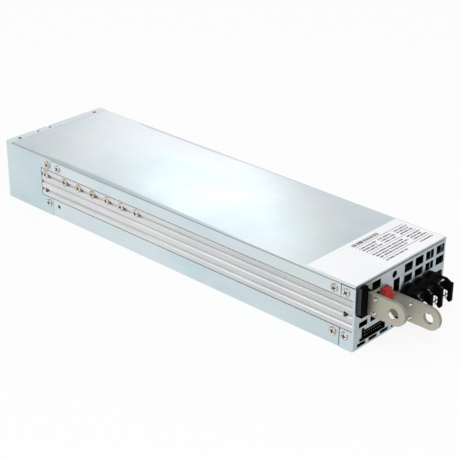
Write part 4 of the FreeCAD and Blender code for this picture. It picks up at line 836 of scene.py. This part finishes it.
finishOfSlot = {
    "zinc_steel": zincSteel, "sink_aluminium": sinkAluminium, "tinned_copper": tabMetal,
    "screw_steel": screwSteel, "nickel_plate": nickelPlate, "gold_pin": shadedPinMetal,
    "black_plastic": plastics["blackPlastic"], "red_plastic": plastics["redPlastic"],
    "fan_plastic": plastics["fanPlastic"], "black_epoxy": plastics["blackEpoxy"],
    "blue_plastic": plastics["bluePlastic"], "film_box": plastics["shadedFilmBox"],
    "can_sleeve": plastics["canSleeve"], "ferrite": plastics["ferrite"],
    "clear_film": plastics["smokeFilm"], "copper_wire": copperWire,
    "board_green": boardGreen, "white_label": labelPaper,
}
slotOfNode = {part["node"]: part["material_slot"] for part in frame["record"]["subparts"]}
finishOfNode = {node: finishOfSlot[slot] for node, slot in slotOfNode.items()}
finishOfNode.update(top_cover=coverZinc, bottom_chassis=chassisZinc, cover_tab_screws=darkSteel)
for nodeName, nodeObject in frame["nodes"].items():
    nodeObject.data.materials.clear()
    nodeObject.data.materials.append(finishOfNode[nodeName])
bodyOfNode = {node: body for body, nodes in frame["record"]["behaviour"]["bodies"].items() for node in nodes}
print("finishes made and given to", len(slotOfNode), "nodes")


# pieces that stand for CAD nodes

smoothing = {
    "merge": 0.002 * mm,
    "flat": math.radians(0.5),     # faces closer than this to one plane become one
    "corner": math.radians(30.0),  # edges sharper than this are softened
    "segments": 2,
    "shade": math.radians(16.0),
}


def finishPiece(form, name, materials, *replaced):
    mesh = bpy.data.meshes.new(name)
    form.to_mesh(mesh)
    form.free()
    for material in materials:
        mesh.materials.append(material)
    mesh.shade_smooth()
    mesh.set_sharp_from_angle(angle=smoothing["shade"])
    piece = bpy.data.objects.new(name, mesh)
    bpy.context.scene.collection.objects.link(piece)
    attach(piece, bodyOfNode[replaced[0]])
    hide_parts(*replaced)


def mergedCopy(node):
    form = bmesh.new()
    form.from_mesh(frame["nodes"][node].data)
    bmesh.ops.remove_doubles(form, verts=form.verts, dist=smoothing["merge"])
    return form


# softened edges on sheet, extrusion and mouldings

softEdges = {  # node: new piece, edge width in mm
    "bottom_chassis": ("chassisShell", 0.10),
    "top_cover": ("coverShell", 0.10),
    "front_panel": ("frontPlate", 0.12),
    "rear_fan_housing": ("fanHousing", 0.10),
    "heatsink": ("sinkProfile", 0.14),
    "negative_tab": ("negativeTab", 0.25),
    "positive_tab": ("positiveTab", 0.25),
    "negative_bush": ("negativeBush", 0.20),
    "positive_bush": ("positiveBush", 0.20),
    "terminal_block": ("terminalBody", 0.20),
    "signal_header": ("headerBody", 0.12),
}

# faces with a finish of their own, chosen by the way they look and by how far they lie from the node's ends;
# most of these finishes paint shade, sheen and glints onto the faces
facing = (0.99, 1.01)  # spans of the cosine between a face and a direction
edgeOn = (-0.1, 0.1)
lowerWall = (0.1, 0.999)
bottomWall = (0.65, 0.999)
atEnd = (-0.1, 0.1)  # mm
faceFinishes = {  # node: direction, span, distances from ends in mm, finish
    # painted shade on the cover's front edge
    "top_cover": [(toFront, facing, {"front": atEnd}, edgeShadeSteel)],
    "front_panel": [(toFront, facing, {"front": atEnd}, panelShadeZinc)],
    "bottom_chassis": [  # painted shade on the front edge of the right side and on the wall of the tooling hole
        (toFront, facing, {"front": (-0.1, 8.9), "right": (-0.1, 2.0)}, edgeShadeSteel),
        (toRight, edgeOn, {"left": (-0.1, 1.5), "rear": (50.5, 53.5), "foot": (6.8, 9.8)}, recessShade),
    ],
    # painted sheen on the bush's left face near its front
    "negative_bush": [(toLeft, facing, {"left": atEnd, "front": (-0.1, 3.2)}, plastics["sheenPlastic"])],
    "negative_tab": [  # painted shade on the rim and hole walls, painted glints on the lower walls of the bolt hole and small holes
        (toRight, edgeOn, {"front": (-0.1, 47.0)}, shadedTabEdge),
        (toTop, lowerWall, {"front": (4.0, 12.0), "top": (1.0, 13.0)}, boreGlint),
        (toTop, bottomWall, {"front": (12.0, 25.0), "top": (1.0, 13.0)}, boreGlint),
    ],
    "positive_tab": [  # painted shade on the rim and hole walls, painted glints on the lower walls of the small holes
        (toRight, edgeOn, {"front": (-0.1, 54.3)}, shadedTabEdge),
        (toTop, bottomWall, {"front": (12.3, 32.3), "top": (1.0, 13.0)}, boreGlint),
    ],
}


def endDistances(place, low, high):
    fromLow, fromHigh = (place - low) / mm, (high - place) / mm
    return dict(zip(("left", "front", "foot", "right", "rear", "top"), (*fromLow, *fromHigh)))


def softenNode(node, name, width):
    form = mergedCopy(node)
    bmesh.ops.dissolve_limit(form, angle_limit=smoothing["flat"], verts=form.verts, edges=form.edges)
    form.normal_update()
    low, high = boxOf(node)
    materials = [finishOfNode[node]]
    for way, span, limits, finish in faceFinishes.get(node, []):
        materials.append(finish)
        for face in form.faces:
            far = endDistances(face.calc_center_median(), low, high)
            inside = all(start < far[end] < stop for end, (start, stop) in limits.items())
            if inside and span[0] < face.normal.dot(Vector(way)) < span[1]:
                face.material_index = len(materials) - 1
    corners = [
        edge for edge in form.edges
        if len(edge.link_faces) == 2 and edge.calc_face_angle() > smoothing["corner"]
    ]
    bmesh.ops.bevel(
        form, geom=corners, offset=width * mm, offset_type="OFFSET", affect="EDGES",
        segments=smoothing["segments"], profile=0.5, material=-1, clamp_overlap=True,
    )
    finishPiece(form, name, materials, node)


for nodeName, (pieceName, edgeWidth) in softEdges.items():
    softenNode(nodeName, pieceName, edgeWidth)
print("edges softened on", len(softEdges), "pieces")


# cross-head screws

def looseBoxes(node):
    form = mergedCopy(node)
    left = set(form.verts)
    boxes = []
    while left:
        island = [left.pop()]
        for vertex in island:
            for edge in vertex.link_edges:
                other = edge.other_vert(vertex)
                if other in left:
                    left.remove(other)
                    island.append(other)
        boxes.append(boxRound([vertex.co for vertex in island]))
    form.free()
    return sorted(boxes, key=lambda box: tuple(box[0]))


screwShape = {
    "crown": 1.12,  # start of the round head, as a share of the cross's reach
    "dome": [(0.80, 0.96), (0.93, 0.78), (1.0, 0.42)],  # the head takes its rim finish past this share of its radius, a painted shade on the case, heatsink and fan screws
    "rim": 0.85,    # the head is darker past this share of its radius
    "merge": 0.001,  # mm
    "turnStep": 37,  # degrees from one screw's cross to the next
    "fullCross": 90,
}


def crossScrew(size, length):
    radius, height = size["headRadius"], size["headHeight"]
    reach, width = size["crossReach"], size["crossWidth"]
    form = bmesh.new()
    # the cross, a grid of nine squares without its corners
    bmesh.ops.create_grid(form, x_segments=3, y_segments=3, size=1.0)
    corners = [face for face in form.faces if min(map(abs, face.calc_center_median()[:2])) > 0.5]
    bmesh.ops.delete(form, geom=corners, context="FACES")
    for vertex in form.verts:
        for axis in (0, 1):
            far = abs(vertex.co[axis]) > 0.5
            vertex.co[axis] = math.copysign(reach if far else width / 2, vertex.co[axis])
        vertex.co.z = height
    cross = list(form.faces)
    rim = [edge for edge in form.edges if edge.is_boundary]
    # the head and shank, turned round the axis
    shank, tip, end = size["shankRadius"], size["tip"], height - length
    outline = [
        (reach * screwShape["crown"], height),
        *((radius * wide, height * tall) for wide, tall in screwShape["dome"]),
        (radius, 0.0), (shank, 0.0), (shank, end + tip), (shank - tip, end), (0.0, end),
    ]
    points = [form.verts.new((out, 0.0, rise)) for out, rise in outline]
    turned = [form.edges.new(pair) for pair in zip(points, points[1:])]
    bmesh.ops.spin(
        form, geom=points + turned, cent=(0.0, 0.0, 0.0), axis=(0.0, 0.0, 1.0),
        angle=math.tau, steps=size["steps"], use_merge=True,
    )
    bmesh.ops.remove_doubles(form, verts=form.verts, dist=screwShape["merge"])
    crown = [edge for edge in form.edges if edge.is_boundary and edge not in rim]
    bmesh.ops.bridge_loops(form, edges=rim + crown)
    bmesh.ops.recalc_face_normals(form, faces=form.faces)
    walls = bmesh.ops.inset_region(
        form, faces=cross, thickness=size["crossTaper"], depth=-size["crossDepth"], use_even_offset=True,
    )["faces"]
    # finish 1 is the recess, with painted shade, 2 the rim of the head
    for face in form.faces:
        middle = face.calc_center_median()
        if middle.z > 0.0 and middle.xy.length > radius * screwShape["rim"]:
            face.material_index = 2
    for face in walls + cross:
        face.material_index = 1
    bmesh.ops.scale(form, vec=(mm, mm, mm), verts=form.verts)
    mesh = bpy.data.meshes.new("screwForm")
    form.to_mesh(mesh)
    form.free()
    return mesh


def setScrews(node, name, size):
    outward = Vector(size["outward"])
    form = bmesh.new()
    for count, (low, high) in enumerate(looseBoxes(node)):
        middle = (low + high) / 2
        out = outward.copy()
        if size["bothSides"] and middle.dot(outward) < 0:
            out.negate()
        length = abs((high - low).dot(outward))
        seat = middle + out * (length / 2 - size["headHeight"] * mm)
        angle = screwShape["turnStep"] * count % screwShape["fullCross"]
        turn = Matrix.Rotation(math.radians(angle), 4, "Z")
        first = len(form.verts)
        mesh = crossScrew(size, length / mm)
        form.from_mesh(mesh)
        bpy.data.meshes.remove(mesh)
        form.verts.ensure_lookup_table()
        place = Matrix.Translation(seat) @ out.to_track_quat("Z", "Y").to_matrix().to_4x4() @ turn
        bmesh.ops.transform(form, matrix=place, verts=form.verts[first:])
    finishPiece(form, name, [finishOfNode[node], recessShade, size["rim"]], node)


caseScrew = {
    "headRadius": 2.65, "headHeight": 0.7, "shankRadius": 1.35, "tip": 0.25, "steps": 28,
    "crossReach": 1.60, "crossWidth": 0.78, "crossTaper": 0.14, "crossDepth": 0.50,
    "outward": toRight, "bothSides": True, "rim": rimShadeSteel,
}
sinkScrew = dict(caseScrew)
fanScrew = dict(caseScrew, outward=toRear, bothSides=False)
lidScrew = dict(
    caseScrew, headRadius=1.2, headHeight=0.4, shankRadius=0.8, crossReach=0.80, crossWidth=0.46,
    crossTaper=0.06, crossDepth=0.3, outward=toTop, bothSides=False, rim=darkSteel,
)
clampScrew = {
    "headRadius": 3.4, "headHeight": 2.6, "shankRadius": 1.7, "tip": 0.4, "steps": 32,
    "crossReach": 2.2, "crossWidth": 0.95, "crossTaper": 0.2, "crossDepth": 1.2,
    "outward": toFront, "bothSides": False, "rim": nickelPlate,
}
setScrews("case_screws", "caseScrews", caseScrew)
setScrews("heatsink_screws", "sinkScrews", sinkScrew)
setScrews("fan_screws", "fanScrews", fanScrew)
setScrews("cover_tab_screws", "lidScrews", lidScrew)
for pole in (1, 2, 3):
    setScrews(f"terminal_screw_{pole}", f"clampScrew{pole}", clampScrew)
print("screws set")
